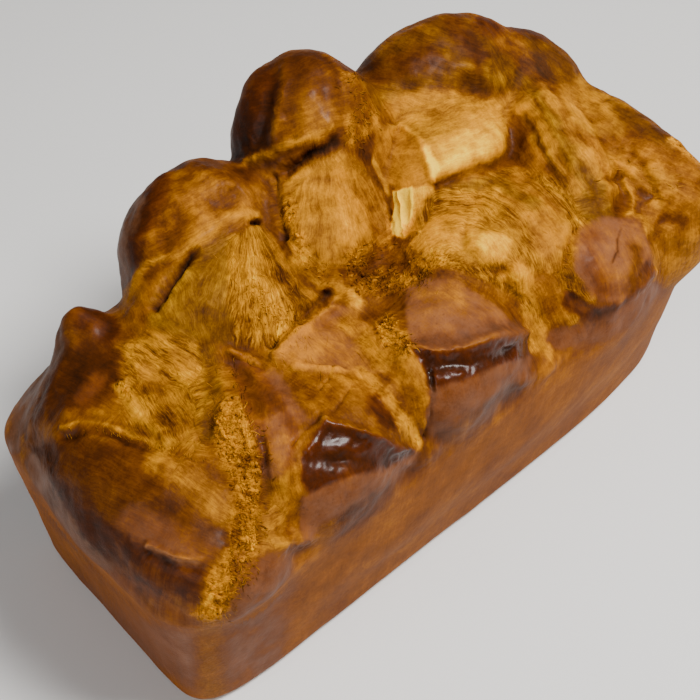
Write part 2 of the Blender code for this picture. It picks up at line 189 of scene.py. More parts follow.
# Crust colours as painted strokes and areas, in photograph pixels, later ones on top:
# name, finish, points, half width of a stroke (0 fills the outline), softness of the edge
PAINT = (
    ("near_end_crust", "amber", ((10, 440), (20, 395), (50, 345), (100, 312), (200, 335), (240, 400),
     (255, 520), (250, 600), (205, 622), (130, 600), (60, 545)), 0, 12),
    ("near_dome", "umber", ((40, 420), (62, 350), (98, 325), (135, 340), (120, 385), (95, 410)), 0, 16),
    ("near_dome_shine", "red_brown", ((84, 398), (96, 380)), 6, 8),
    ("near_dome_rim", "grey_sheen", ((62, 340), (40, 372), (22, 412), (14, 445)), 6, 6),
    ("near_dome_ridge", "brown", ((74, 345), (52, 385), (30, 438)), 2.5, 3),
    ("knob", "mahogany", ((74, 310), (90, 318), (106, 330)), 11, 9),
    ("near_front", "brown", ((30, 450), (70, 432), (130, 448), (190, 470), (235, 530), (225, 570),
     (150, 560), (80, 520)), 0, 14),
    ("near_front_dark_spot", "gap", ((40, 458), (48, 466)), 7, 8),
    ("near_front_tan", "tan", ((162, 462), (200, 492), (228, 512)), 13, 14),
    ("near_front_pink", "rose_brown", ((132, 526), (168, 538), (200, 548)), 12, 12),
    ("near_front_spots", "brown", ((208, 532), (230, 540)), 7, 7),
    ("near_front_band", "mahogany", ((48, 498), (90, 535), (130, 562), (172, 582), (205, 588)), 16, 10),
    ("near_front_deep", "mahogany", ((70, 518), (110, 552), (150, 572)), 6, 8),
    # Painted highlight along the arc under the crease
    ("near_front_shine", "highlight_pink", ((148, 547), (172, 558), (196, 562)), 1.5, 4),
    ("near_front_foot", "red_brown", ((95, 572), (140, 596), (190, 612)), 9, 7),
    ("near_front_rim", "grey_sheen", ((30, 462), (48, 500), (72, 535), (105, 568)), 5, 5),
    ("bridge_strings", "strings", ((118, 345), (150, 333), (205, 338), (222, 380), (214, 420), (205, 452),
     (172, 447), (148, 442), (128, 430), (120, 385)), 0, 20),
    ("bridge_olive", "tan", ((150, 372), (176, 402), (190, 436)), 8, 9),
    # Painted shade down the valley
    ("bridge_valley", "olive", ((208, 352), (212, 392), (207, 432)), 7, 7),
    ("bridge_tongue", "pale", ((122, 386), (140, 414), (170, 444)), 6, 5),
    ("bridge_pale", "tan", ((175, 360), (192, 372)), 7, 8),
    # Painted shadow under the torn edge
    ("tear_under_shadow", "brown", ((64, 436), (78, 430), (92, 428), (106, 431), (124, 439)), 2.5, 4),
    ("tear_line", "tan", ((62, 429), (76, 422), (90, 420), (104, 423), (118, 429)), 1.4, 2),
    ("tear_line_end", "straw", ((118, 429), (140, 437), (158, 444)), 1.2, 5),
    ("near_seam", "shaggy", ((216, 398), (240, 400), (262, 432), (268, 480), (262, 520), (256, 560),
     (238, 600), (210, 622), (196, 612), (206, 575), (232, 545), (232, 490), (216, 440)), 0, 13),
    ("near_seam_pale", "shaggy", ((222, 410), (236, 432), (246, 470), (248, 515)), 5, 6),
    ("near_seam_shade", "shaggy", ((240, 500), (244, 535), (236, 565)), 4, 5),
    ("second_crust", "amber", ((116, 302), (120, 240), (146, 186), (178, 154), (222, 160), (262, 188),
     (272, 214), (240, 224), (195, 252), (158, 282), (140, 312)), 0, 8),
    # Dark left flank: partly the crust's colour, partly painted shade of the side turned from the light
    ("second_flank", "mahogany", ((112, 305), (118, 240), (146, 184), (172, 158), (168, 195), (146, 235),
     (134, 280)), 0, 12),
    ("second_flank_rim", "grey_sheen", ((122, 285), (124, 240), (140, 200)), 4, 6),
    ("second_crest", "umber", ((182, 160), (216, 166), (246, 180)), 6, 9),
    ("second_orange", "orange", ((165, 225), (195, 205), (225, 198), (246, 204)), 10, 18),
    ("middle_near_face", "olive", ((150, 300), (180, 262), (225, 232), (250, 240), (246, 300), (240, 345),
     (180, 340), (150, 325)), 0, 10),
    ("second_lip", "tan", ((122, 298), (150, 264), (188, 248), (228, 218), (255, 214)), 3, 6),
    # Painted shade in the slit under the lip
    ("second_slit", "gap", ((154, 306), (170, 280), (192, 254)), 2, 5),
    ("second_lip_light", "amber", ((196, 240), (216, 226), (238, 218)), 1.2, 3),
    # Painted shade in the hole
    ("second_hole", "gap", ((254, 222), (259, 222)), 3, 3),
    ("middle_strings", "strings", ((228, 236), (262, 222), (300, 285), (332, 305), (322, 340), (275, 350),
     (236, 345), (226, 300)), 0, 8),
    ("middle_long_light", "gold", ((270, 240), (292, 276), (316, 304)), 2.5, 4),
    ("third_knot_face", "tan", ((284, 182), (308, 160), (342, 146), (364, 156), (384, 200), (388, 240),
     (368, 264), (330, 270), (290, 250), (278, 215)), 0, 7),
    ("third_knot_light", "gold", ((345, 168), (350, 205), (352, 240)), 9, 12),
    ("third_knot_crack", "tan", ((276, 182), (280, 210), (286, 236)), 2.5, 4),
    ("third_knot_crumbs", "shaggy", ((288, 208), (296, 242)), 8, 6),
    ("third_crust", "brown", ((232, 162), (238, 108), (254, 74), (280, 50), (306, 46), (338, 62), (354, 88),
     (350, 112), (330, 138), (290, 160), (250, 172)), 0, 8),
    # Dark left flank: partly the crust's colour, partly painted shade of the side turned from the light
    ("third_flank", "mahogany", ((230, 160), (236, 108), (254, 72), (278, 54), (272, 96),
     (258, 140)), 0, 12),
    ("third_crest", "umber", ((286, 58), (312, 62), (340, 84)), 13, 12),
    ("third_shine", "umber", ((310, 80), (326, 84)), 6, 7),
    ("third_face", "amber", ((278, 132), (300, 122), (328, 116)), 10, 10),
    ("third_lip", "tan", ((246, 164), (276, 150), (308, 138), (330, 130)), 3.5, 5),
    # Painted shade in the gap under the lip
    ("third_gap", "gap", ((288, 172), (302, 162), (322, 148), (336, 142)), 4, 5),
    ("third_seam", "shaggy_dark", ((338, 68), (360, 72), (378, 95), (380, 125), (360, 150), (342, 140),
     (348, 105)), 0, 7),
    ("third_seam_tone", "brown", ((352, 90), (362, 118)), 9, 9),
    ("fourth_crust", "olive_dark", ((356, 70), (385, 48), (420, 28), (455, 10), (482, 24), (512, 58),
     (528, 92), (500, 92), (440, 88), (395, 98), (376, 112)), 0, 9),
    ("fourth_shade", "umber", ((372, 72), (400, 66), (432, 60)), 9, 9),
    ("fourth_peak", "umber", ((452, 20), (470, 40), (486, 62)), 8, 9),
    ("fifth_dark", "mahogany", ((486, 24), (512, 22), (534, 34)), 8, 7),
    ("fifth_crust", "olive_dark", ((520, 34), (552, 40), (578, 60), (590, 84), (560, 84), (535, 70)), 0, 8),
    ("far_cream", "sand", ((560, 84), (585, 76), (622, 95), (640, 118), (622, 136), (590, 138),
     (570, 118)), 0, 10),
    ("far_cream_light", "gold", ((578, 100), (600, 112)), 11, 12),
    ("far_olive", "olive_dark", ((622, 102), (655, 128), (672, 142)), 9, 9),
    ("far_pinch", "fringe", ((672, 142), (692, 158)), 3, 4),
    ("far_lumps", "orange", ((588, 142), (640, 138), (700, 160), (704, 230), (650, 228), (610, 205)), 0, 9),
    # Painted highlights on the tops of the far lumps and ridges
    ("far_lumps_highlight", "tan", ((612, 158), (640, 176), (672, 182)), 6, 9),
    ("far_ridge_pale", "gold", ((588, 152), (598, 178), (610, 204)), 3, 5),
    ("far_ridge_pale_two", "gold", ((624, 182), (632, 198), (630, 214)), 2.5, 5),
    ("far_blob_highlight", "gold", ((640, 220), (648, 226)), 5, 6),
    ("far_lump_highlight", "orange_pale", ((616, 164), (628, 172)), 5, 7),
    ("far_bright_two", "orange_pale", ((606, 186), (616, 194)), 4, 6),
    # Painted shade in the valley between the lumps
    ("far_valley", "amber", ((600, 180), (618, 180), (622, 196), (620, 210)), 1.5, 4),
    ("far_valley_two", "gold", ((630, 150), (646, 176), (660, 206)), 2, 5),
    # Painted shade in the pits and on the lumps' dark left edge
    ("far_pit_shade", "brown", ((640, 193), (648, 198)), 3, 6),
    ("far_pit_two", "umber", ((666, 220), (680, 222)), 4, 7),
    ("far_left_shade", "brown", ((584, 196), (592, 210)), 4, 6),
    ("far_strand_brown", "olive", ((500, 70), (535, 110), (568, 160), (600, 215)), 15, 9),
    ("far_strand_cream", "tan", ((545, 88), (572, 130), (600, 178)), 4, 5),
    ("far_strand_cream_two", "tan", ((520, 92), (548, 136), (575, 190)), 5, 6),
    ("cream_face", "pale", ((388, 128), (408, 104), (450, 96), (500, 98), (516, 116), (512, 150),
     (498, 166), (468, 172), (438, 182), (424, 160)), 0, 20),
    ("cream_face_tan", "tan", ((400, 112), (440, 106), (480, 114)), 4, 24),
    # Painted light on the lit lower left of the cream face
    ("cream_face_painted_light", "cream", ((434, 166), (448, 150), (474, 142)), 8, 20),
    # Painted shade on the face's underside
    ("cream_face_under", "amber", ((462, 178), (488, 168), (508, 154), (516, 134), (512, 112)), 4, 14),
    # Painted shade at the face's right end
    ("cream_face_end_shade", "gold", ((508, 98), (522, 108)), 6, 6),
    ("glazed_patch", "orange_pale", ((374, 130), (400, 127), (420, 140), (427, 165), (430, 182), (395, 190),
     (372, 166)), 0, 5),
    ("split_edge", "butter", ((426, 148), (434, 166), (436, 182)), 3, 3),
    ("split_strip", "butter", ((390, 192), (412, 187), (418, 214), (404, 238), (390, 232)), 0, 3),
    ("split_strip_gold", "straw", ((412, 188), (435, 184), (436, 206), (416, 222)), 0, 4),
    ("knot_crack", "gold", ((364, 156), (378, 182), (387, 212), (389, 236)), 1.2, 2),
    ("knot_crack_edge", "cream", ((374, 160), (386, 184), (392, 214)), 1.6, 2),
    ("sweep", "strings", ((438, 190), (500, 168), (556, 176), (592, 228), (600, 292), (572, 330),
     (530, 352), (520, 300), (470, 272), (428, 264), (404, 246), (414, 216)), 0, 8),
    ("sweep_warm", "orange_pale", ((520, 190), (545, 222), (560, 252)), 15, 12),
    ("sweep_grey", "gold", ((418, 238), (440, 228), (462, 232)), 12, 10),
    ("sweep_shade", "olive", ((450, 186), (500, 184), (535, 205)), 4, 6),
    ("sweep_groove", "amber", ((437, 184), (470, 174), (500, 167), (513, 150), (516, 122)), 3, 8),
    ("golden_spot", "pale", ((478, 246), (502, 240)), 15, 9),
    ("golden_spot_light", "straw", ((486, 246), (500, 250)), 8, 9),
    ("second_spot", "gold", ((516, 272), (524, 286)), 11, 8),
    ("sweep_low", "orange", ((545, 285), (560, 310), (548, 338)), 12, 10),
    ("sweep_end", "gold", ((532, 318), (542, 346)), 8, 8),
    ("hollow", "shaggy_dark", ((344, 250), (372, 240), (410, 240), (432, 262), (420, 286), (385, 296),
     (350, 292)), 0, 8),
    ("hollow_deep", "orange", ((370, 262), (396, 252)), 6, 8),
    ("hollow_crumbs", "shaggy", ((382, 274), (408, 276)), 6, 5),
    ("hollow_fringe", "fringe", ((412, 284), (430, 264), (440, 262)), 5, 5),
    ("hollow_left_seam", "straw", ((300, 262), (330, 284), (352, 300)), 9, 7),
    ("flap", "pink_tan", ((272, 352), (296, 330), (330, 303), (352, 310), (374, 330), (392, 352),
     (384, 372), (340, 378), (300, 372)), 0, 4),
    ("flap_pink", "flap_pink", ((298, 342), (325, 322), (330, 345)), 9, 9),
    ("flap_gold", "gold", ((350, 322), (370, 345), (384, 362)), 9, 8),
    ("flap_line", "tan", ((268, 350), (292, 325), (324, 299)), 0.8, 3),
    # Painted highlight along the flap's torn edge
    ("flap_rim_highlight", "gold", ((275, 354), (300, 331), (330, 306)), 0.8, 2),
    # Painted shadow under the flap's lower edge
    ("flap_under", "brown", ((300, 374), (330, 378), (352, 380)), 0.8, 4),
    ("flap_edge", "orange", ((274, 352), (300, 328), (330, 303)), 2, 3),
    ("fold_below", "orange", ((296, 372), (345, 376), (372, 382), (372, 400), (330, 418),
     (300, 405)), 0, 7),
    ("fold_cracks", "orange_light", ((332, 370), (328, 380), (320, 388)), 1.2, 2),
    ("fold_crack_two", "orange_light", ((350, 390), (342, 402), (334, 412)), 1.2, 2),
    ("second_face", "amber", ((350, 392), (372, 396), (398, 418), (412, 446), (360, 432),
     (322, 418)), 0, 6),
    ("second_face_shade", "mahogany", ((375, 402), (395, 422)), 6, 8),
    ("seam_pale", "gold", ((362, 372), (382, 392), (400, 412), (412, 442)), 6, 5),
    ("seam_pale_core", "straw", ((390, 400), (406, 424), (413, 440)), 3, 4),
    ("third_fold", "orange_light", ((386, 352), (410, 346), (428, 368), (430, 405), (424, 436), (412, 420),
     (396, 396)), 0, 6),
    ("third_fold_tone", "orange_light", ((408, 370), (415, 400)), 7, 9),
    ("third_fold_crumbs", "tan", ((388, 362), (404, 356)), 3, 3),
    ("third_crumbs", "shaggy", ((386, 322), (396, 340), (408, 342)), 10, 7),
    ("twist", "red_brown", ((228, 350), (252, 362), (284, 384), (302, 416), (296, 446), (290, 500),
     (286, 546), (262, 545), (262, 482), (256, 440), (240, 400)), 0, 5),
    ("twist_low", "tan", ((262, 478), (292, 470), (290, 545), (262, 556), (256, 520)), 0, 10),
    ("twist_tone", "brown", ((244, 376), (262, 410)), 6, 8),
    ("twist_shine", "pink", ((272, 374), (290, 400), (300, 418)), 4, 6),
    ("twist_shine_low", "pink", ((276, 424), (278, 452), (276, 470)), 7, 7),
    ("twist_tip", "orange", ((229, 351), (240, 360), (262, 368)), 1.4, 2),
    ("twist_fold", "orange", ((302, 446), (296, 480), (292, 530)), 5, 5),
    ("second_flap_dark", "chocolate", ((304, 452), (324, 424), (362, 434), (408, 450), (400, 468),
     (352, 478), (312, 496), (302, 480)), 0, 5),
    ("second_flap_red", "mahogany", ((330, 462), (360, 466), (385, 462)), 8, 8),
    # Painted grey-pink sheen on the flank
    ("second_flap_purple", "purple", ((304, 498), (340, 480), (390, 468), (412, 452), (412, 466),
     (372, 498), (322, 524), (300, 545)), 0, 6),
    ("third_top", "pink", ((404, 288), (425, 278), (458, 284), (490, 302), (520, 332), (500, 338),
     (460, 346), (424, 352), (408, 334)), 0, 6),
    ("third_top_shade", "purple_dark", ((420, 340), (455, 338), (490, 326), (512, 330)), 5, 10),
    ("third_top_light", "pink_tan", ((424, 290), (444, 288), (460, 296)), 7, 9),
    ("third_band", "chocolate", ((412, 350), (432, 352), (462, 350), (500, 338), (524, 338), (528, 358),
     (500, 366), (465, 382), (436, 392), (428, 370)), 0, 5),
    # Painted grey-pink sheen on the flank
    ("third_flank_purple", "purple", ((430, 392), (465, 380), (500, 366), (528, 358), (520, 378),
     (480, 405), (430, 438), (424, 415)), 0, 7),
    ("fourth_top", "pink", ((580, 232), (604, 216), (636, 220), (652, 246), (648, 282), (622, 302),
     (590, 296), (574, 268)), 0, 7),
    ("fourth_top_shade", "red_brown", ((590, 240), (592, 268), (606, 290)), 7, 12),
    ("fourth_top_dark", "brown", ((634, 248), (640, 270), (628, 288)), 5, 9),
    ("fourth_crack", "brown", ((622, 228), (617, 240), (618, 252), (613, 262)), 0.5, 2),
    ("fourth_band", "mahogany", ((572, 302), (598, 316), (628, 308), (650, 284), (656, 262)), 7, 6),
    ("fourth_band_dark", "red_brown", ((570, 296), (582, 308)), 4, 4),
    # Painted grey-pink sheen on the flank
    ("fourth_flank", "purple", ((556, 340), (600, 334), (634, 310), (656, 284)), 8, 7),
    ("fifth_side", "orange_light", ((650, 224), (700, 222), (704, 262), (672, 292), (652, 282)), 0, 7),
    ("corner_band", "orange", ((212, 632), (214, 660), (214, 688)), 12, 10),
    # Painted grey-pink sheen on the darker wall near the corner
    ("long_wall_dark", "purple", ((262, 580), (256, 630), (250, 672)), 20, 22),
    # Near wall painted darker as the shade of the side turned from the light, under a painted grey-pink
    # sheen
    ("near_wall_shade", "purple", ((10, 470), (60, 556), (130, 612), (196, 636), (196, 690), (120, 640),
     (50, 580)), 0, 14),
)

# Wandering of the painted edges, in pixels, and patchy baking all over
RAGGED_PIXELS = 7.0
FRAYED_PIXELS = 1.5
UNEVEN_BAKE = 0.11

# Cracks, ridges and hollows in the crust, in photograph pixels and millimetres:
# name, points, half width, rise (negative for a groove)
RELIEF = (
    ("near_dome_edge_ridge", ((74, 342), (52, 385), (30, 440)), 5, 0.7),
    ("near_dome_hollow", ((92, 418), (130, 425)), 12, -1.5),
    ("tear_sheet", ((70, 414), (92, 411), (112, 416), (136, 428)), 6, 0.9),
    ("tear_fringe", ((62, 428), (76, 422), (90, 420), (104, 423), (118, 429)), 2.4, 0.6),
    ("tear_drop", ((66, 436), (88, 430), (108, 433), (140, 446)), 5, -1.4),
    ("tongue", ((122, 386), (140, 414), (168, 442)), 6, 1.2),
    ("valley", ((206, 346), (212, 392), (208, 440)), 8, -1.8),
    ("near_front_crease", ((148, 545), (172, 557), (200, 560)), 3, 1.2),
    ("near_front_under", ((150, 553), (175, 565), (202, 568)), 5, -1.2),
    ("seam_shag", ((224, 412), (240, 450), (250, 500), (246, 545)), 9, 0.8),
    ("seam_shag_edge", ((262, 440), (266, 490), (262, 540)), 4, -1.2),
    ("second_slit", ((154, 308), (170, 280), (194, 252)), 5, -4.0),
    ("second_lip", ((122, 300), (150, 262), (188, 247), (228, 216), (256, 213)), 5, 0.8),
    ("second_hole", ((254, 223), (259, 223)), 3, -4.0),
    ("knot_left_crack", ((275, 178), (279, 208), (286, 238)), 4, -2.2),
    ("knot_right_crack", ((364, 154), (378, 182), (388, 212), (390, 238)), 1.6, -0.5),
    ("third_gap", ((286, 172), (302, 162), (320, 150), (334, 144)), 6, -4.4),
    ("third_lip", ((246, 162), (276, 148), (308, 136), (332, 127)), 5, 1.4),
    ("sweep_groove", ((437, 185), (470, 175), (500, 168), (514, 150), (517, 120)), 7, -1.3),
    ("cream_lip", ((440, 170), (468, 160), (490, 150), (498, 132)), 12, 1.0),
    ("strip_crack", ((388, 190), (388, 214), (392, 238)), 2.4, -1.0),
    ("strip_fold", ((397, 192), (400, 214), (402, 234)), 2.2, 0.9),
    ("strip_fold_two", ((410, 190), (411, 210), (408, 226)), 2.2, 0.9),
    ("strip_crack_right", ((437, 186), (438, 208)), 3, -1.0),
    ("patch_edge", ((374, 130), (400, 127), (420, 140), (427, 165), (431, 182)), 3, 1.2),
    ("hollow", ((360, 268), (392, 260), (415, 268)), 15, -2.0),
    ("golden_spot", ((480, 246), (502, 241)), 15, 2.2),
    ("golden_ring", ((466, 226), (462, 250), (476, 268), (502, 270)), 4, -1.0),
    ("second_spot", ((516, 272), (524, 286)), 10, 2.0),
    ("second_spot_ring", ((504, 268), (510, 292), (524, 302)), 4, -1.1),
    ("far_groove", ((524, 118), (546, 160), (566, 202), (585, 222)), 4, -0.8),
    ("far_groove_two", ((552, 86), (578, 130), (602, 172)), 4, -0.9),
    ("second_ridge", ((150, 192), (172, 168), (200, 170), (235, 182), (262, 192)), 7, 0.9),
    ("second_face_flat", ((165, 228), (200, 208), (232, 204)), 16, -1.8),
    ("third_crease", ((272, 62), (266, 100), (258, 142)), 7, -1.3),
    ("third_edge", ((285, 70), (280, 105), (273, 136)), 6, 0.9),
    ("third_face_flat", ((292, 116), (326, 108)), 16, -1.6),
    ("third_top_dent", ((322, 76), (330, 92)), 9, -1.0),
    ("fourth_fold", ((392, 62), (430, 56), (468, 66), (500, 84)), 8, 0.9),
    ("fourth_slope", ((400, 88), (450, 82), (496, 92)), 12, -1.4),
    ("far_ridge", ((588, 152), (598, 178), (610, 204)), 4, 1.3),
    ("far_ridge_two", ((624, 182), (632, 198), (630, 214)), 3.5, 1.3),
    ("lump_one", ((614, 162), (630, 172)), 8, 2.0),
    ("lump_two", ((606, 186), (616, 194)), 6, 1.6),
    ("lump_three", ((656, 168), (676, 186), (692, 200)), 12, 1.8),
    ("lump_four", ((640, 221), (650, 226)), 7, 1.6),
    ("lump_valley", ((600, 180), (618, 180), (621, 208)), 5, -1.2),
    ("lump_valley_two", ((630, 150), (646, 176), (660, 206)), 4, -1.5),
    ("lump_pit", ((640, 193), (648, 198)), 6, -1.3),
    ("lump_pit_two", ((664, 218), (682, 222)), 8, -1.4),
    ("far_strand", ((538, 96), (562, 142), (590, 195)), 5, 1.0),
    ("flap_shadow", ((268, 346), (294, 322), (328, 296)), 5, -2.6),
    ("flap_edge", ((276, 356), (300, 333), (332, 307)), 5, 1.6),
    ("flap_low", ((296, 368), (330, 372), (356, 374)), 4, 1.4),
    ("fold_crack", ((333, 369), (329, 380), (320, 389)), 1.5, -0.6),
    ("fold_crack_two", ((351, 389), (342, 402), (333, 413)), 1.5, -0.6),
    ("twist_ridge", ((230, 352), (262, 384), (288, 410)), 7, 1.6),
    ("twist_tip_ridge", ((229, 350), (258, 364)), 3, 1.6),
    ("twist_crack", ((292, 446), (306, 430), (320, 415)), 2.4, -1.2),
    ("second_flap_crest", ((308, 450), (326, 424), (362, 434), (408, 449)), 5, 2.4),
    ("second_flap_hollow", ((322, 458), (356, 462), (388, 462)), 9, -1.6),
    ("seam_between", ((414, 446), (402, 418), (384, 398)), 5, 0.8),
    ("third_crest", ((412, 346), (432, 352), (462, 348), (498, 336), (522, 334)), 5, 2.0),
    ("third_band_hollow", ((430, 366), (470, 364), (512, 350)), 7, -1.8),
    ("third_fold_edge", ((430, 372), (432, 404), (424, 436)), 3, -1.8),
    ("fourth_crest", ((574, 292), (600, 306), (628, 298), (650, 272)), 5, 1.6),
    ("fourth_edge", ((572, 232), (566, 266), (570, 296)), 5, -1.2),
    ("fill_near", ((282, 546), (304, 534)), 10, 2.0),
    ("fill_middle", ((408, 462), (430, 446)), 10, 2.0),
    ("fill_far", ((524, 380), (548, 362)), 10, 2.0),
)

# Wandering of the cracks, in pixels
CRACK_WANDER = 2.4

# Places where neighbouring lobes grew together, so that the valley between them is worn away:
# name, outline in photograph pixels, softness
KNEADED = (
    ("twist_join", ((222, 345), (262, 345), (300, 380), (318, 415), (300, 450), (262, 440),
     (236, 400)), 16),
    ("knot_join", ((356, 140), (382, 128), (398, 190), (404, 240), (380, 250), (362, 200)), 12),
    ("flap_join", ((276, 340), (330, 296), (390, 330), (400, 400), (330, 420), (290, 390)), 16),
    ("hollow_join", ((330, 240), (430, 236), (440, 290), (360, 305)), 14),
    ("third_join", ((250, 130), (345, 120), (360, 150), (300, 180), (255, 180)), 10),
    ("seam_join", ((330, 60), (372, 62), (392, 110), (380, 150), (345, 140)), 14),
    ("near_join", ((180, 320), (235, 330), (240, 440), (200, 460), (170, 400)), 16),
    ("near_knob_join", ((40, 330), (90, 310), (80, 360), (40, 440), (10, 450)), 12),
    ("second_join", ((130, 300), (200, 240), (262, 215), (280, 240), (200, 300), (150, 330)), 10),
    ("wall_join", ((285, 540), (320, 505), (420, 440), (450, 430), (440, 470), (310, 560)), 12),
    ("wall_join_far", ((500, 390), (540, 350), (600, 340), (600, 370), (530, 400)), 12),
    ("far_join", ((500, 90), (560, 80), (620, 200), (580, 230), (540, 190)), 14),
)
KNEAD_ROUNDS = 90

# Directions of the torn strings, in photograph pixels and degrees down to the right:
# name, kind (straight, fan from a point, or ring round a point), centre of the region,
# its half width, the angle or the point
GRAIN = (
    ("near_dome", "straight", (95, 375), 40, 30),
    ("bridge_top", "straight", (168, 358), 34, 33),
    ("bridge_low", "straight", (158, 412), 36, 56),
    ("near_front", "straight", (120, 490), 62, 26),
    ("near_front_right", "straight", (200, 500), 40, 36),
    ("near_seam", "straight", (240, 470), 46, 12),
    ("near_seam_low", "straight", (226, 560), 46, 24),
    ("middle", "fan", (262, 290), 62, (246, 205)),
    ("second", "straight", (190, 215), 52, -28),
    ("knot", "fan", (340, 215), 48, (318, 60)),
    ("third", "straight", (300, 105), 56, -20),
    ("fourth", "straight", (430, 62), 60, 14),
    ("cream", "straight", (452, 136), 56, -18),
    ("far_strands", "straight", (556, 145), 52, 57),
    ("far_top", "straight", (545, 58), 40, 40),
    ("far_cream", "straight", (610, 112), 40, 30),
    ("far_lumps", "straight", (648, 182), 52, 24),
    ("sweep", "ring", (500, 225), 74, (452, 292)),
    ("sweep_low", "straight", (556, 312), 38, 66),
    ("hollow", "straight", (395, 268), 40, -40),
    ("flap", "straight", (350, 345), 42, 44),
    ("fold", "straight", (360, 405), 44, 38),
    ("twist", "straight", (272, 450), 52, 78),
    ("strip", "straight", (410, 205), 24, 86),
)

# How far a direction reaches beyond its half width and how strong it has to be there, and the number
# of the first such field and what sets fields apart in the noise
GRAIN_REACH = 1.4
GRAIN_LEAST = 0.25
FIRST_FIELD = 40.0
FIELD_APART = 7.0

# Rises of the fine relief, in millimetres, coarse to fine: torn strings and the ridges along them,
# crumb lumps and grit, the dough's slow unevenness, and wrinkles of thick egg wash
STRING_RISES = (0.50, 0.45, 0.30)
CRUMB_RISES = (0.60, 0.45)
DOUGH_RISES = (1.05, 0.50)
GLAZE_RISES = (0.50, 0.16)

# Painted shade in hollows and painted light on proud places, added to the baked value: rounds of averaging,
# change for each millimetre, and the most that it may be; strings and crumbs that stand up get painted light
# too, and sunk ones painted shade
HOLLOW_PAINTED_SHADE = ((8, 0.12, 0.11), (60, 0.07, 0.18))
PROUD_PAINTED_LIGHT = -0.05
RISEN_PAINTED_LIGHT = 0.08
RISEN_PAINTED_MOST = 0.09

SHAPE_SEED = 7
STRAND_SEED = 21
CRUMB_SEED = 33

# Torn strings: points along one, sides, most half thickness in millimetres, and their finish after
# the baked value, which is the crust's own with a change between two limits
STRAND_STEPS = 7
STRAND_SIDES = 4
STRAND_THICK = 0.16
STRAND_FINISH = (0.0, 0.08, 0.35, 0.3, -0.2)
STRAND_BAKE = (-0.12, 0.06)

# Crumbs: how many, usual and largest half size in metres, finish and change of the baked value
CRUMB_COUNT = 700
CRUMB_SIZE = 0.00032
CRUMB_LARGEST = 0.0012
CRUMB_FINISH = (0.0, 0.05, 0.1, 0.8, 0.0)
CRUMB_BAKE = (-0.11, 0.05)

# The studio, in metres
FLOOR_REACH = 3.0
FLOOR_COLOURS = ((0.80, 0.79, 0.77, 1.0), (0.84, 0.83, 0.82, 1.0))
SKY_COLOUR = (1.0, 0.99, 0.97, 1.0)
KEY_PLACE = (0.26, -0.34, 0.90)
KEY_AIM = (0.0, 0.0, 0.08)
KEY_SIZE = 0.32
KEY_COLOUR = (1.0, 0.985, 0.96)
FILL_PLACE = (-0.80, -0.10, 0.45)
FILL_AIM = (0.0, 0.0, 0.04)
FILL_SIZE = 0.6
FILL_COLOUR = (0.97, 0.98, 1.0)


# Noise and pixel geometry

class Grain:
    """Smooth seeded noise in three dimensions, from -1 to 1."""

    def __init__(self, seed):
        draw = np.random.default_rng(seed)
        self.values = draw.uniform(-1.0, 1.0, 4096)

    def at(self, points):
        cell = np.floor(points).astype(np.int64)
        part = points - cell
        part = part * part * (3.0 - 2.0 * part)
        total = np.zeros(len(points))
        for corner in range(8):
            step = np.array([corner & 1, corner >> 1 & 1, corner >> 2])
            spot = cell + step
            key = spot[:, 0] * 73856093 ^ spot[:, 1] * 19349663 ^ spot[:, 2] * 83492791
            key = (key ^ key >> 13) * 1274126177
            weight = np.where(step == 1, part, 1.0 - part).prod(axis=1)
            total += self.values[(key ^ key >> 16) & 4095] * weight
        return total

    def layers(self, points, count=3, gain=0.5):
        """Several octaves added, still about -1 to 1."""
        total = np.zeros(len(points))
        size, whole = 1.0, 0.0
        for level in range(count):
            total += size * self.at(points * 2.0 ** level + 17.3 * level)
            whole += size
            size *= gain
        return total / whole


def smooth(low, high, value):
    """0 below low and 1 above high, with a smooth change between them."""
    share = np.clip((value - low) / (high - low), 0.0, 1.0)
    return share * share * (3.0 - 2.0 * share)


def line_distance(u, v, points, closed=False):
    """Distance in pixels to a line through the points."""
    ends = points[1:] + (points[:1] if closed else ())
    best = np.full(len(u), 1e9)
    for (ax, ay), (bx, by) in zip(points, ends):
        length = max((bx - ax) ** 2 + (by - ay) ** 2, 1e-9)
        share = np.clip(((u - ax) * (bx - ax) + (v - ay) * (by - ay)) / length, 0.0, 1.0)
        best = np.minimum(best, np.hypot(u - ax - share * (bx - ax), v - ay - share * (by - ay)))
    return best


def inside_outline(u, v, points):
    """True where a pixel place is inside the closed outline."""
    inside = np.zeros(len(u), dtype=bool)
    for (ax, ay), (bx, by) in zip(points, points[1:] + points[:1]):
        crosses = (ay > v) != (by > v)
        rise = by - ay if by != ay else 1e-9
        inside ^= crosses & (u < ax + (v - ay) * (bx - ax) / rise)
    return inside


def near_box(u, v, points, margin):
    """Indices of the places within a margin of the points' box."""
    xs, ys = zip(*points)
    wide = (u > min(xs) - margin) & (u < max(xs) + margin)
    return np.nonzero(wide & (v > min(ys) - margin) & (v < max(ys) + margin))[0]


def camera_turn():
    """Rows: the camera's right, up and back directions."""
    a, e, r = (math.radians(x) for x in (VIEW_AZIMUTH, VIEW_ELEVATION, VIEW_ROLL))
    back = np.array([math.sin(a) * math.cos(e), -math.cos(a) * math.cos(e), math.sin(e)])
    right = np.array([math.cos(a), math.sin(a), 0.0])
    up = np.cross(back, right)
    return np.array([right * math.cos(r) + up * math.sin(r), up * math.cos(r) - right * math.sin(r), back])


def camera_eye():
    return VIEW_TARGET + VIEW_DISTANCE * camera_turn()[2]


def photo_pixels(points):
    """Pixel place (u, v) and depth of points as the photograph's camera sees them."""
    seen = (points - camera_eye()) @ camera_turn().T
    middle = PHOTO_SIZE / 2
    depth = -seen[:, 2]
    return middle + FOCAL_PIXELS * seen[:, 0] / depth, middle - FOCAL_PIXELS * seen[:, 1] / depth, depth


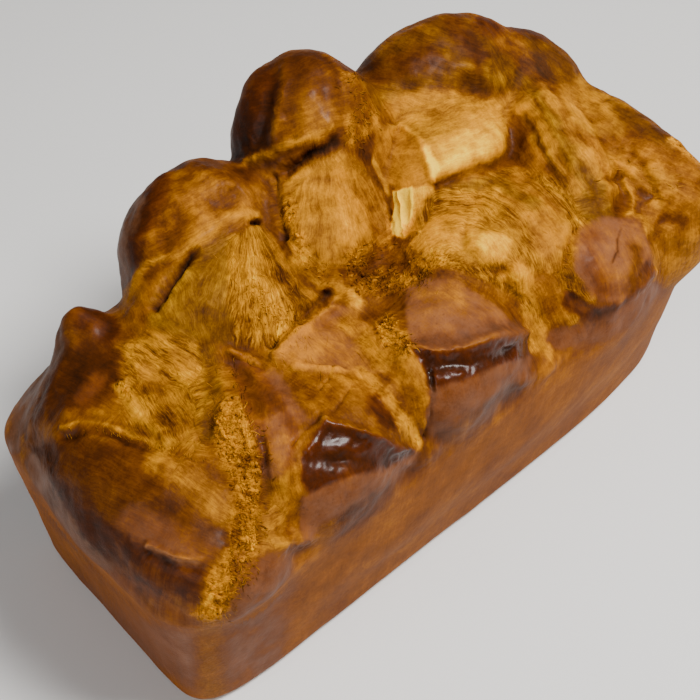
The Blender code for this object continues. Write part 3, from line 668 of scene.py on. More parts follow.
# The loaf's form

def turn_matrix(heading, pitch, roll):
    """Rows are the lobe's long, wide and tall directions."""
    h, p, r = (math.radians(x) for x in (heading, pitch, roll))
    about_z = np.array([[math.cos(h), math.sin(h), 0], [-math.sin(h), math.cos(h), 0], [0, 0, 1]])
    about_y = np.array([[math.cos(p), 0, math.sin(p)], [0, 1, 0], [-math.sin(p), 0, math.cos(p)]])
    about_x = np.array([[1, 0, 0], [0, math.cos(r), math.sin(r)], [0, -math.sin(r), math.cos(r)]])
    return about_x @ about_y @ about_z


def lump_gap(points, centre, half_sizes, turn, squareness):
    """Distance from points to the skin of a rounded lump, negative inside; 2 is an ellipsoid."""
    local = np.log(np.maximum(np.abs((points - centre) @ turn.T) / half_sizes, 1e-6))
    size = np.exp(local * squareness).sum(axis=1) ** (1.0 / squareness)
    slope = np.linalg.norm(np.exp(local * (squareness - 1.0)) / half_sizes, axis=1)
    return (size - 1.0) / (slope * size ** (1.0 - squareness))


def tin_gap(points):
    """Distance to the tapered walls that the tin gives, negative inside; the sides bow outward."""
    x, y, z = points.T
    lean = TIN_DRAFT * (1.0 - np.clip(z / TIN_HEIGHT, 0.0, 1.0))
    low = np.clip((BASE_EDGE_RADIUS - z) / BASE_EDGE_RADIUS, 0.0, 1.0)
    tuck = BASE_EDGE_RADIUS * (1.0 - np.sqrt(1.0 - low ** 2))
    half_long = TIN_LENGTH / 2 - lean - tuck
    half_wide = TIN_WIDTH / 2 - lean - tuck
    power = np.where(x < 0.0, NEAR_SQUARENESS, FAR_SQUARENESS)
    u = np.maximum(np.abs(x) / half_long, 1e-6)
    v = np.maximum(np.abs(y) / half_wide, 1e-6)
    size = (u ** power + v ** power) ** (1.0 / power)
    slope = size ** (1.0 - power) * np.hypot(u ** (power - 1) / half_long, v ** (power - 1) / half_wide)
    plan = (size - 1.0) / slope
    above = z - TIN_HEIGHT
    rounded = np.hypot(np.maximum(plan + WALL_TOP_ROUNDING, 0.0),
                       np.maximum(above + WALL_TOP_ROUNDING, 0.0)) - WALL_TOP_ROUNDING
    return np.maximum(rounded, np.maximum(plan, above))


def all_gaps(points):
    """One row for each lump: the tin body, the core and the lobes."""
    gaps = [tin_gap(points), lump_gap(points, CORE_CENTRE, CORE_HALF, np.eye(3), CORE_SQUARENESS)]
    for _, centre, half_sizes, heading, pitch, roll in LOBES:
        gaps.append(lump_gap(points, np.array(centre) * MM, np.array(half_sizes) * MM,
                             turn_matrix(heading, pitch, roll), LOBE_SQUARENESS))
    return np.stack(gaps)


def loaf_gap(points):
    """Signed distance to the whole loaf, a soft union of its lumps."""
    stack = all_gaps(points)
    nearest = stack.min(axis=0)
    return nearest - SEAM_SOFTNESS * np.log(np.exp(-(stack - nearest) / SEAM_SOFTNESS).sum(axis=0))


def cast(origins, directions):
    """The outermost point of the loaf along each ray, found by stepping inward from outside."""
    reach = np.full(len(origins), RAY_REACH)
    live = np.arange(len(origins))
    for _ in range(TRACE_STEPS):
        gap = loaf_gap(origins[live] + directions[live] * reach[live][:, None])
        reach[live] = np.maximum(reach[live] - gap * TRACE_SHARE, 0.0)
        live = live[np.abs(gap) > TRACE_TOLERANCE]
        if not len(live):
            break
    return origins + directions * reach[:, None]


def crown_rays(along, across):
    """Rays that fan out evenly over the crown, from a line through the middle of the loaf."""
    run = np.linspace(-1.0, 1.0, along + 1) * (SPINE_HALF + END_ARC)
    end = np.sign(run) * np.clip((np.abs(run) - SPINE_HALF) / END_ARC, 0.0, 1.0)
    a, b = np.meshgrid(end, np.linspace(-1.0, 1.0, across + 1), indexing="ij")
    ahead = a * np.sqrt(1.0 - b ** 2 / 2)
    aside = b * np.sqrt(1.0 - a ** 2 / 2)
    out = np.hypot(ahead, aside)
    rise = (1.0 - out) * math.pi / 2
    level = np.cos(rise) / np.maximum(out, 1e-9)
    directions = np.stack([level * ahead, level * aside, np.sin(rise)], axis=2)
    origins = np.zeros_like(directions)
    origins[:, :, 0] = np.clip(run, -SPINE_HALF, SPINE_HALF)[:, None]
    origins[:, :, 2] = SPINE_HEIGHT
    return origins, directions


def slid_evenly(grid):
    """Slide the points along the grid's lines, away from its border, to about equal distances."""
    lines, count = grid.shape[:2]
    run = np.zeros((lines, count))
    run[:, 1:] = np.cumsum(np.linalg.norm(np.diff(grid, axis=1), axis=2), axis=1)
    even = np.linspace(0.0, 1.0, count)
    places = np.arange(count)
    spots = np.stack([np.interp(even, line / line[-1], places) for line in run])
    edge = np.minimum(np.arange(lines), np.arange(lines)[::-1])
    spots = places + (spots - places) * (SLIDE_SHARE * smooth(0, SLIDE_BORDER, edge))[:, None]
    for _ in range(SLIDE_ROUNDS):
        spots[1:-1] = (spots[:-2] + 2 * spots[1:-1] + spots[2:]) / 4
    low = np.clip(spots.astype(int), 0, count - 2)
    part = (spots - low)[:, :, None]
    line = np.arange(lines)[:, None]
    return grid[line, low] * (1.0 - part) + grid[line, low + 1] * part


def rim_walk(a, b):
    """Grid places along the crown's edge, anticlockwise seen from above."""
    walk = [(i, 0) for i in range(a)]
    walk += [(a, j) for j in range(b)]
    walk += [(i, b) for i in range(a, 0, -1)]
    walk += [(0, j) for j in range(b, 0, -1)]
    return walk


def loaf_surface(along, across, wall_rows):
    """Points and quads of the closed loaf: crown grid, wall rows and base."""
    origins, directions = crown_rays(along, across)
    crown = cast(origins.reshape(-1, 3), directions.reshape(-1, 3)).reshape(along + 1, across + 1, 3)
    crown = slid_evenly(crown)
    crown = slid_evenly(crown.transpose(1, 0, 2)).transpose(1, 0, 2).reshape(-1, 3)
    walk = np.array([i * (across + 1) + j for i, j in rim_walk(along, across)])
    starts = origins.reshape(-1, 3)[walk].copy()
    outward = directions.reshape(-1, 3)[walk]
    points = [crown]
    grid = np.arange(len(crown)).reshape(along + 1, across + 1)
    quads = [np.stack([grid[:-1, :-1], grid[1:, :-1], grid[1:, 1:], grid[:-1, 1:]], axis=2).reshape(-1, 4)]
    above = walk
    count = len(crown)
    for row in range(1, wall_rows + 1):
        starts[:, 2] = SPINE_HEIGHT * (1.0 - row / wall_rows)
        points.append(cast(starts, outward))
        ring = count + np.arange(len(walk))
        count += len(walk)
        quads.append(np.stack([ring, np.roll(ring, -1), np.roll(above, -1), above], axis=1))
        above = ring
    inward = np.round(np.clip(points[-1][:, 0], -SPINE_HALF, SPINE_HALF), 5)
    spots, place = np.unique(inward, return_inverse=True)
    points.append(np.stack([spots, np.zeros(len(spots)), np.zeros(len(spots))], axis=1))
    inner = count + place
    faces = [tuple(q) for q in np.concatenate(quads).tolist()]
    for here, there, a, b in zip(above.tolist(), np.roll(above, -1).tolist(), inner.tolist(),
                                 np.roll(inner, -1).tolist()):
        faces.append((there, here, a) if a == b else (there, here, a, b))
    return np.concatenate(points) + PLAN_SHIFT, faces


def kneaded(points, cells, u, v, seen):
    """Wear away the valleys inside the kneaded outlines by averaging each point with its neighbours."""
    rows, columns = cells
    count = rows * columns
    share = np.zeros(count)
    for _, outline, softness in KNEADED:
        found = near_box(u[:count], v[:count], outline, softness)
        cover = painted_share(u[found], v[found], outline, 0, softness)
        share[found] = np.maximum(share[found], cover * seen[found])
    crown = points[:count].reshape(rows, columns, 3)
    share = share.reshape(rows, columns, 1)[1:-1, 1:-1]
    for _ in range(KNEAD_ROUNDS):
        around = (crown[:-2, 1:-1] + crown[2:, 1:-1] + crown[1:-1, :-2] + crown[1:-1, 2:]) / 4
        crown[1:-1, 1:-1] += share * (around - crown[1:-1, 1:-1])
    return points


def hollowness(points, normals, cells, rounds):
    """How far each place of the crown lies below its surroundings, in millimetres."""
    count = cells[0] * cells[1]
    depth = np.zeros(len(points))
    around = [evened(points[:count, axis].copy(), cells, rounds) for axis in range(3)]
    depth[:count] = ((np.stack(around, axis=1) - points[:count]) * normals[:count]).sum(axis=1) / MM
    return depth


def vertex_normals(mesh):
    normals = np.empty(len(mesh.vertices) * 3, dtype=np.float32)
    mesh.vertex_normals.foreach_get("vector", normals)
    return normals.reshape(-1, 3).astype(float)


def set_points(mesh, points):
    mesh.vertices.foreach_set("co", points.astype(np.float32).ravel())
    mesh.update()


def sight_share(points, normals):
    """1 where the photograph's camera sees the surface, 0 where it is turned away or hidden."""
    u, v, depth = photo_pixels(points)
    to_eye = camera_eye() - points
    to_eye /= np.linalg.norm(to_eye, axis=1)[:, None]
    facing = (normals * to_eye).sum(axis=1)
    count = int(PHOTO_SIZE / SIGHT_CELL) + 2 * SIGHT_MARGIN
    column = np.clip((u / SIGHT_CELL + SIGHT_MARGIN).astype(int), 0, count - 1)
    row = np.clip((v / SIGHT_CELL + SIGHT_MARGIN).astype(int), 0, count - 1)
    nearest = np.full((count, count), 1e9)
    np.minimum.at(nearest, (row, column), depth)
    front = nearest.copy()
    for shift in ((0, 1), (0, -1), (1, 0), (-1, 0)):
        front = np.minimum(front, np.roll(nearest, shift, axis=(0, 1)) + SIGHT_EDGE)
    hidden = depth - front[row, column]
    return smooth(0.02, 0.2, facing) * (1.0 - smooth(*HIDDEN_DEPTHS, hidden)), u, v


def evened(values, cells, rounds):
    """Values on the crown's grid, each averaged with its neighbours."""
    rows, columns = cells
    grid = values[:rows * columns].reshape(rows, columns)
    for _ in range(rounds):
        around = grid[:-2, 1:-1] + grid[2:, 1:-1] + grid[1:-1, :-2] + grid[1:-1, 2:]
        grid[1:-1, 1:-1] = (grid[1:-1, 1:-1] + around) / 5
    return values


# Crust relief and finish

def painted_share(u, v, points, half_width, softness):
    """How strongly a painted stroke, or an area where the half width is 0, covers each place."""
    if half_width == 0:
        distance = line_distance(u, v, points, closed=True)
        signed = np.where(inside_outline(u, v, points), -distance, distance)
        return 1.0 - smooth(-softness * 0.6, softness * 0.6, signed)
    return 1.0 - smooth(half_width - softness * 0.4, half_width + softness, line_distance(u, v, points))


def plain_finish(points, normals):
    """Finish by rule, for sides that the photograph doesn't show: walls, flanks, crests and seams."""
    local = points - PLAN_SHIFT
    noise = Grain(SHAPE_SEED + 1)
    patchy = noise.layers(points * 60.0)
    gaps = np.sort(all_gaps(local)[2:], axis=0)
    seam = np.exp(-(gaps[1] - gaps[0]) / (SEAM_WIDTH + SEAM_VARIES * patchy))
    seam *= smooth(*SEAM_HEIGHTS, local[:, 2])
    tall = smooth(*WALL_TO_CROWN, points[:, 2] + 0.004 * patchy)
    flank = smooth(0.75, 0.25, normals[:, 2])
    fine = noise.layers(points * 190.0 + 9.0)
    wall, crown, torn = (np.tile(FINISHES[name], (len(points), 1))
                         for name in ("plain_wall", "plain_crown", "plain_torn"))
    wall[:, 0] += 0.06 * patchy + 0.05 * fine
    # Steep flanks darker and glossier, with a painted grey-pink sheen
    crown += flank[:, None] * FLANK_CHANGE
    crown[:, 0] += 0.08 * patchy
    torn[:, 0] += 0.12 * patchy
    finish = wall + (crown - wall) * tall[:, None]
    finish += (torn - finish) * (SEAM_SHARE * seam * tall)[:, None]
    return finish


def painted_finish(u, v, finish, points):
    """The photograph's named patches over the plain finish."""
    noise = Grain(SHAPE_SEED + 2)
    ragged_u, ragged_v = (RAGGED_PIXELS * noise.layers(points * 150.0 + shift, 4, 0.6)
                          + FRAYED_PIXELS * noise.at(points * 900.0 + shift) for shift in (0.0, 31.0))
    broken = np.clip(0.85 + 0.9 * noise.layers(points * 170.0 + 3.0), 0.2, 1.0)
    for _, name, outline, half_width, softness in PAINT:
        rows = near_box(u, v, outline, half_width + softness + 8)
        wander = min(1.0, (half_width + softness) / 10.0)
        share = painted_share(u[rows] + wander * ragged_u[rows], v[rows] + wander * ragged_v[rows],
                              outline, half_width, softness)
        if half_width > 0:
            share *= broken[rows]
        finish[rows] += (np.array(FINISHES[name]) - finish[rows]) * share[:, None]
    uneven = noise.layers(points * 75.0 + 11.0) + noise.layers(points * 210.0 + 19.0)
    height_share = 0.25 + 0.75 * smooth(0.058, 0.076, points[:, 2])
    finish[:, 0] += UNEVEN_BAKE * uneven * height_share * (1.15 - 0.8 * finish[:, 2])
    return finish


def string_places(u, v, points):
    """For each place, how far it is across and along the strings there, in millimetres, and its field."""
    local = points - PLAN_SHIFT
    nearest = all_gaps(local)[2:].argmin(axis=0)
    across, along = np.zeros(len(u)), np.zeros(len(u))
    for number, (_, centre, _, heading, pitch, roll) in enumerate(LOBES):
        rows = np.nonzero(nearest == number)[0]
        turned = (local[rows] - np.array(centre) * MM) @ turn_matrix(heading, pitch, roll).T
        across[rows], along[rows] = turned[:, 0] / MM, turned[:, 1] / MM
    field = nearest * 1.0
    strength = np.full(len(u), GRAIN_LEAST)
    pixel_mm = VIEW_DISTANCE / FOCAL_PIXELS / MM
    for number, (_, kind, centre, half_width, guide) in enumerate(GRAIN):
        reach = half_width * GRAIN_REACH
        rows = near_box(u, v, (centre,), reach)
        share = 1.0 - np.hypot(u[rows] - centre[0], v[rows] - centre[1]) / reach
        taken = share > strength[rows]
        rows, share = rows[taken], share[taken]
        strength[rows] = share
        if kind == "straight":
            angle = math.radians(guide)
            du, dv = u[rows] - centre[0], v[rows] - centre[1]
            across[rows] = (dv * math.cos(angle) - du * math.sin(angle)) * pixel_mm
            along[rows] = (du * math.cos(angle) + dv * math.sin(angle)) * pixel_mm
        else:
            du, dv = u[rows] - guide[0], v[rows] - guide[1]
            radius = np.hypot(du, dv)
            middle = math.hypot(centre[0] - guide[0], centre[1] - guide[1])
            turned = np.arctan2(dv, du) * middle
            if kind == "fan":
                across[rows], along[rows] = turned * pixel_mm, radius * pixel_mm
            else:
                across[rows], along[rows] = radius * pixel_mm, turned * pixel_mm
        field[rows] = FIRST_FIELD + number
    return np.stack([across, along, field * FIELD_APART], axis=1)


def pixel_relief(u, v, points):
    """Rise of the surface, in millimetres, from the cracks, ridges and hollows of the photograph."""
    noise = Grain(SHAPE_SEED + 3)
    shift_u, shift_v = (CRACK_WANDER * noise.layers(points * 240.0 + shift)
                        + noise.at(points * 900.0 + shift) for shift in (0.0, 57.0))
    strength = 0.85 + 0.6 * noise.at(points * 130.0 + 5.0)
    rise = np.zeros(len(u))
    for _, line, half_width, height in RELIEF:
        rows = near_box(u, v, line, half_width * 3.0)
        distance = line_distance(u[rows] + shift_u[rows], v[rows] + shift_v[rows], line)
        rise[rows] += height * strength[rows] * np.exp(-(distance / half_width) ** 2)
    return rise


def fine_relief(points, finish, strings):
    """Rise from torn strings, crumb and the slow unevenness of dough, in millimetres."""
    noise = Grain(SHAPE_SEED + 4)
    fibre, crumb, gloss = finish[:, 3], finish[:, 4], finish[:, 2]
    aside = 2.6 * noise.at(points * 85.0) + 0.9 * noise.at(points * 240.0)
    wander = np.stack([aside, np.zeros(len(points)), np.zeros(len(points))], axis=1)
    thick = noise.layers((strings + wander) * np.array([0.34, 0.05, 1.0]), 2)
    thin = noise.layers((strings + wander) * np.array([0.95, 0.09, 1.0]) + 5.0, 2)
    rise = fibre ** 2 * (STRING_RISES[0] * thick + STRING_RISES[1] * thin
                         + STRING_RISES[2] * (1.0 - 2.2 * np.abs(thick)))
    lumps = 1.0 - np.abs(noise.layers(points * 330.0, 2)) * 2.0
    grit = noise.layers(points * 800.0 + 3.0, 2)
    rise += crumb * (CRUMB_RISES[0] * lumps + CRUMB_RISES[1] * grit)
    tall = smooth(0.060, 0.075, points[:, 2])
    rough = 0.30 + 0.70 * tall
    swell, bulge = noise.at(points * 68.0), noise.at(points * 150.0 + 8.0)
    rise += rough * (DOUGH_RISES[0] * swell + DOUGH_RISES[1] * bulge)
    rise += tall * (0.30 - 0.2 * gloss) * noise.at(points * 320.0 + 21.0)
    folds, creases = noise.layers(points * 240.0 + 9.0, 2), noise.at(points * 700.0)
    rise += smooth(0.75, 0.95, gloss) * (GLAZE_RISES[0] * folds + GLAZE_RISES[1] * creases)
    return rise


def store(mesh, name, kind, values):
    layer = mesh.attributes.new(name, kind, "POINT")
    layer.data.foreach_set("vector" if kind == "FLOAT_VECTOR" else "value",
                           np.ascontiguousarray(values, dtype=np.float32).ravel())


def store_finish(mesh, finish, strings):
    for column, name in enumerate(FINISH_VALUES):
        store(mesh, name, "FLOAT", finish[:, column])
    store(mesh, "strings", "FLOAT_VECTOR", strings)


# Materials

class Value:
    """A shader socket that takes part in Python sums."""

    def __init__(self, tree, socket):
        self.tree = tree
        self.socket = socket

    def maths(self, operation, *others, clamp=False):
        node = self.tree.nodes.new("ShaderNodeMath")
        node.operation = operation
        node.use_clamp = clamp
        for slot, item in zip(node.inputs, (self,) + others):
            plug(self.tree, slot, item)
        return Value(self.tree, node.outputs[0])

    def __add__(self, other):
        return self.maths("ADD", other)

    def __mul__(self, other):
        return self.maths("MULTIPLY", other)

    def __sub__(self, other):
        return self.maths("SUBTRACT", other)

    def __rsub__(self, other):
        return self.maths("MULTIPLY", -1.0).maths("ADD", other)

    __radd__ = __add__
    __rmul__ = __mul__

    def apart(self, other):
        """How far it is from another value."""
        return self.maths("SUBTRACT", other).maths("ABSOLUTE")

    def kept(self):
        """Held between 0 and 1."""
        return self.maths("ADD", 0.0, clamp=True)


def plug(tree, slot, item):
    """Link a value to a socket, or set the socket to a number or colour."""
    if isinstance(item, Value):
        tree.links.new(item.socket, slot)
    else:
        slot.default_value = item


class Finish:
    """A material, with the methods that make and link its nodes."""

    def __init__(self, name):
        self.material = bpy.data.materials.new(name)
        self.material.use_nodes = True
        self.tree = self.material.node_tree
        self.shader = self.tree.nodes["Principled BSDF"]

    def node(self, kind, output, settings=None, **inputs):
        """Make a node: its settings first, then the values or links of its sockets."""
        node = self.tree.nodes.new(kind)
        for name, value in (settings or {}).items():
            if name == "stops":
                self.set_stops(node.color_ramp, value)
            else:
                setattr(node, name, value)
        for name, value in inputs.items():
            plug(self.tree, self.socket(node, name), value)
        return Value(self.tree, node.outputs[output])

    @staticmethod
    def socket(node, name):
        return next(s for s in node.inputs if s.enabled and name in (s.identifier, s.name.replace(" ", "_")))

    @staticmethod
    def set_stops(ramp, stops):
        while len(ramp.elements) > 1:
            ramp.elements.remove(ramp.elements[-1])
        for number, (place, colour) in enumerate(stops):
            stop = ramp.elements[0] if number == 0 else ramp.elements.new(place)
            stop.position = place
            stop.color = tuple(colour) + (1.0,)

    def attribute(self, name, output="Fac"):
        return self.node("ShaderNodeAttribute", output, {"attribute_name": name})

    def noise(self, vector, scale, detail=3.0, roughness=0.55):
        return self.node("ShaderNodeTexNoise", "Fac", Vector=vector, Scale=scale, Detail=detail,
                         Roughness=roughness)

    def vectors(self, operation, vector, other):
        return self.node("ShaderNodeVectorMath", "Vector", {"operation": operation}, Vector=vector,
                         Vector_001=other)

    def blend(self, share, first, second, mode="MIX"):
        """Mix of two colours."""
        node = self.tree.nodes.new("ShaderNodeMix")
        node.data_type = "RGBA"
        node.blend_type = mode
        node.clamp_factor = True
        sockets = [s for s in node.inputs if s.enabled]
        for slot, item in zip(sockets, (share, first, second)):
            plug(self.tree, slot, item)
        return Value(self.tree, next(s for s in node.outputs if s.enabled))

    def set(self, name, value):
        plug(self.tree, self.shader.inputs[name], value)


# Where each colour of the palette lies as the crust bakes, and how hue changes a colour
BAKING_STOPS = (("cream", 0.00), ("straw", 0.14), ("gold", 0.28), ("tan", 0.40), ("amber", 0.50),
                ("brown", 0.62), ("mahogany", 0.75), ("chocolate", 0.88), ("char", 1.00))
REDDER = (1.0, 0.72, 0.62, 1.0)
GREENER = (0.98, 1.20, 1.1, 1.0)


def crust_finish(name, palette):
    """Baked crust: colour from how far it is baked, with strings, crumb, bloom and painted sheen, pores,
    painted shade in the string grooves, and egg-wash gloss.
    """
    look = Finish(name)
    place = look.node("ShaderNodeTexCoord", "Object")
    baked, bloom, gloss, fibre, crumb, hue = (look.attribute(n) for n in FINISH_VALUES)
    strings = look.attribute("strings", "Vector")
    aside = (look.noise(place, 110.0, 2.0, 0.5) - 0.5) * 4.0
    strings = look.vectors("ADD", strings, look.node("ShaderNodeCombineXYZ", "Vector", X=aside))
    streak = look.noise(look.vectors("MULTIPLY", strings, (2.6, 0.16, 1.0)), 1.0, 5.0, 0.75)
    wisp = look.noise(look.vectors("MULTIPLY", strings, (1.5, 0.13, 1.0)), 1.0, 3.0, 0.6)
    wisp = (1.0 - wisp.apart(0.5) * 7.0).kept()
    broad = look.noise(look.vectors("MULTIPLY", strings, (0.55, 0.06, 1.0)), 1.0, 3.0, 0.6)
    mottle = look.noise(place, 140.0, 6.0, 0.65)
    speck = look.noise(place, 1100.0, 4.0, 0.75)
    fleck = (1.0 - look.noise(place, 420.0, 3.0, 0.6).apart(0.5) * 8.0).kept()
    blotch = look.noise(place, 270.0, 3.0, 0.6)
    crack = look.noise(look.vectors("MULTIPLY", strings, (0.9, 0.10, 1.0)), 1.0, 4.0, 0.65)
    crack = (1.0 - crack.apart(0.5) * 16.0).kept()
    cloud = look.noise(place, 42.0, 2.0, 0.5)
    torn = fibre * fibre
    height = look.node("ShaderNodeSeparateXYZ", "Z", Vector=place)
    crown = ((height - 0.058) * 70.0).kept() * 0.50 + 0.50
    tone = baked + (streak - 0.5) * (torn * 0.48 + 0.07)
    tone = tone + (broad - 0.5) * (fibre * 0.38 + 0.18 * (crown * 2.0 - 1.0))
    uneven = (cloud - 0.5) * 0.22 + (mottle - 0.5) * 0.22 + (blotch - 0.5) * 0.18
    tone = tone + uneven * crown * (1.15 - gloss * 0.7)
    tone = tone + (speck - 0.5) * (crumb * 0.28 + 0.10) - fleck * (crumb * 0.09 + 0.03)
    # Thin dark lines along the strings, sunk by the bump below, are painted shade in those grooves
    tone = tone - wisp * (torn * 0.17 + 0.02) + crack * (torn * 0.13 + 0.03)
    stops = [(share, getattr(palette, name)) for name, share in BAKING_STOPS]
    colour = look.node("ShaderNodeValToRGB", "Color", {"stops": stops}, Fac=tone.kept())
    colour = look.blend(hue.kept(), colour, look.blend(1.0, colour, REDDER, "MULTIPLY"))
    colour = look.blend((hue * -1.0).kept(), colour, look.blend(1.0, colour, GREENER, "MULTIPLY"))
    # Bloom: a dusty pink film, which some finishes also use to paint a grey-pink sheen or a pink highlight
    dust_and_sheen = (bloom * ((mottle - 0.5) * 2.4 + (speck - 0.5) * 1.4 + 0.85)).kept()
    colour = look.blend(dust_and_sheen * 0.50, colour, tuple(palette.bloom) + (1.0,))
    pores = look.node("ShaderNodeTexVoronoi", "Distance", {"feature": "F1"}, Vector=place, Scale=420.0)
    pit = (1.0 - pores * 4.0).kept() * bloom * (mottle * 5.0 - 2.0).kept()
    colour = look.blend(pit * 0.7, colour, tuple(palette.mahogany) + (1.0,))
    look.set("Base Color", colour)
    look.set("Roughness", (0.66 - gloss * 0.40 + (speck - 0.5) * 0.20).kept())
    look.set("Coat Weight", (gloss * 0.52 - 0.13).kept() * (mottle * 2.4 - 0.6).kept())
    look.shader.inputs["Coat Roughness"].default_value = 0.20
    look.shader.inputs["Specular IOR Level"].default_value = 0.06
    bumps = (streak + wisp * 0.4 - crack * 0.5) * (torn * 0.8 + 0.015) + speck * (crumb * 0.6 + 0.14)
    bumps = bumps + mottle * 0.30 + blotch * 0.2 + fleck * (crumb * 0.3 + 0.05) - pit * 0.3
    look.set("Normal", look.node("ShaderNodeBump", "Normal", Strength=0.6, Distance=0.0009, Height=bumps))
    return look.material


# Small torn pieces

class Skin:
    """The seen surface, found again from photograph pixels."""

    def __init__(self, points, normals, u, v, seen, finish):
        self.rows = np.nonzero(seen > 0.6)[0]
        self.points, self.normals, self.finish = points, normals, finish
        self.u, self.v = u, v
        self.tree = KDTree(len(self.rows))
        for number, row in enumerate(self.rows.tolist()):
            self.tree.insert((u[row], v[row], 0.0), number)
        self.tree.balance()

    def row_at(self, u, v):
        _, number, distance = self.tree.find((u, v, 0.0))
        return self.rows[number], distance


def tube(path, widths, heights, sides, out):
    """Closed tapered tube with an oval section through the path's points; out is its tall direction."""
    path = np.array(path)
    ahead = np.gradient(path, axis=0)
    ahead /= np.maximum(np.linalg.norm(ahead, axis=1), 1e-9)[:, None]
    side = np.cross(ahead, out)
    side /= np.maximum(np.linalg.norm(side, axis=1), 1e-9)[:, None]
    tall = np.cross(side, ahead)
    points, faces = [], []
    for k in range(len(path)):
        for s in range(sides):
            angle = 2 * math.pi * s / sides
            across, upright = widths[k] * math.cos(angle), heights[k] * math.sin(angle)
            points.append(path[k] + side[k] * across + tall[k] * upright)
    for k in range(len(path) - 1):
        for s in range(sides):
            n = (s + 1) % sides
            faces.append((k * sides + s, k * sides + n, (k + 1) * sides + n, (k + 1) * sides + s))
    faces.append(tuple(reversed(range(sides))))
    faces.append(tuple(range((len(path) - 1) * sides, len(path) * sides)))
    return points, faces


# The loaf's seen surface, kept for the operators that set strings and crumbs on it
SKIN = {}


def loose_strand(draw, skin, start_u, start_v, angle, length, width, lift, curl):
    """A torn string that leaves the surface at one end, or a ragged flake when it is wide."""
    path, rows = [], []
    bend = draw.uniform(-0.7, 0.7)
    u, v = start_u, start_v
    for k in range(STRAND_STEPS):
        row, distance = skin.row_at(u, v)
        if distance > 5.0:
            return None
        share = k / (STRAND_STEPS - 1)
        rise = (-0.30 + lift * share ** 1.5 + draw.uniform(-0.08, 0.08)) * MM
        path.append(skin.points[row] + skin.normals[row] * rise)
        rows.append(row)
        turn = angle + bend * share + curl * share ** 2
        u += math.cos(turn) * length / STRAND_STEPS
        v += math.sin(turn) * length / STRAND_STEPS
    path = np.array(path)
    path[1:-1] = (path[:-2] + path[1:-1] * 2 + path[2:]) / 4
    share = np.linspace(0.0, 1.0, STRAND_STEPS)
    taper = np.minimum(share * 5.0 + 0.4, 1.0) * (1.0 - share) ** 0.6 + 0.05
    ragged = taper * draw.uniform(0.6, 1.3, STRAND_STEPS)
    points, faces = tube(path, width * MM * ragged, min(width, STRAND_THICK) * MM * taper, STRAND_SIDES,
                         skin.normals[rows[STRAND_STEPS // 2]])
    return points, faces, rows[0]


class Heap:
    """Small closed pieces gathered into one mesh, with the crust's finish values."""

    def __init__(self):
        self.points, self.faces, self.finish, self.strings = [], [], [], []

    def add(self, points, faces, finish, number):
        start = len(self.points)
        self.points.extend(points)
        self.faces.extend(tuple(start + i for i in face) for face in faces)
        self.finish.extend([finish] * len(points))
        self.strings.extend([(k * 0.4, k * 0.1, 300.0 + number % 97) for k in range(len(points))])

    def piece(self, name, material):
        mesh = bpy.data.meshes.new(name)
        mesh.from_pydata([tuple(p) for p in self.points], [], self.faces)
        mesh.shade_smooth()
        store_finish(mesh, np.array(self.finish), np.array(self.strings))
        mesh.materials.append(material)
        item = bpy.data.objects.new(name, mesh)
        bpy.context.scene.collection.objects.link(item)
        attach(item, "root")
        return item


# Where torn strings and flakes stand up: name, line they start from, spread in pixels, how many,
# angle in degrees down to the right, length in pixels, half width in millimetres, lift in millimetres
TUFTS = (
    ("tear_line", ((62, 429), (105, 423), (150, 442), (200, 455)), 4, 150, 60, 10, 0.20, 0.7),
    ("tongue_tuft", ((116, 378), (128, 392)), 4, 40, 60, 13, 0.18, 1.4),
    ("bridge", ((130, 350), (200, 372), (190, 430)), 22, 260, 42, 24, 0.14, 0.5),
    ("near_seam", ((222, 402), (244, 450), (250, 510), (240, 570), (214, 606)), 14, 700, 22, 12, 0.26, 0.9),
    ("middle", ((240, 250), (262, 300), (300, 330)), 24, 300, 66, 26, 0.14, 0.6),
    ("middle_crumbs", ((244, 290), (296, 326)), 12, 140, 20, 8, 0.30, 0.9),
    ("knot_crumbs", ((286, 206), (298, 244), (330, 280)), 8, 170, 50, 8, 0.30, 0.9),
    ("hollow", ((352, 262), (385, 280), (420, 276)), 14, 280, 10, 9, 0.30, 1.2),
    ("hollow_fringe", ((412, 288), (430, 262), (442, 260)), 6, 120, -50, 12, 0.16, 1.6),
    ("third_crumbs", ((384, 318), (400, 345), (410, 340)), 9, 150, 70, 10, 0.28, 1.2),
    ("third_seam", ((348, 78), (364, 110), (352, 142)), 10, 160, 60, 8, 0.30, 0.9),
    ("seam_pale", ((364, 374), (398, 408), (412, 440)), 4, 100, 50, 8, 0.22, 0.6),
    ("sweep", ((450, 192), (520, 205), (560, 270)), 18, 200, 36, 28, 0.13, 0.4),
    ("far_lumps", ((600, 160), (680, 190)), 16, 110, 24, 14, 0.22, 0.7),
    ("flap_edge", ((272, 352), (300, 330), (332, 302)), 3, 80, 120, 6, 0.20, 0.6),
    ("twist_edge", ((232, 360), (250, 408), (262, 470)), 4, 130, 100, 9, 0.20, 0.8),
)


def spread_place(draw, line, spread):
    """A random place beside the line, in pixels."""
    lengths = [math.dist(a, b) for a, b in zip(line, line[1:])]
    part = draw.uniform(0.0, sum(lengths))
    for (ax, ay), (bx, by), length in zip(line, line[1:], lengths):
        if part <= length:
            break
        part -= length
    share = min(part / length, 1.0)
    return (ax + (bx - ax) * share + draw.normal(0, spread * 0.6),
            ay + (by - ay) * share + draw.normal(0, spread * 0.6))


CRUMB_CORNERS = ((1, 0, 0), (-1, 0, 0), (0, 1, 0), (0, -1, 0), (0, 0, 1), (0, 0, -1))
CRUMB_SIDES = ((0, 2, 4), (2, 1, 4), (1, 3, 4), (3, 0, 4), (2, 0, 5), (1, 2, 5), (3, 1, 5), (0, 3, 5))


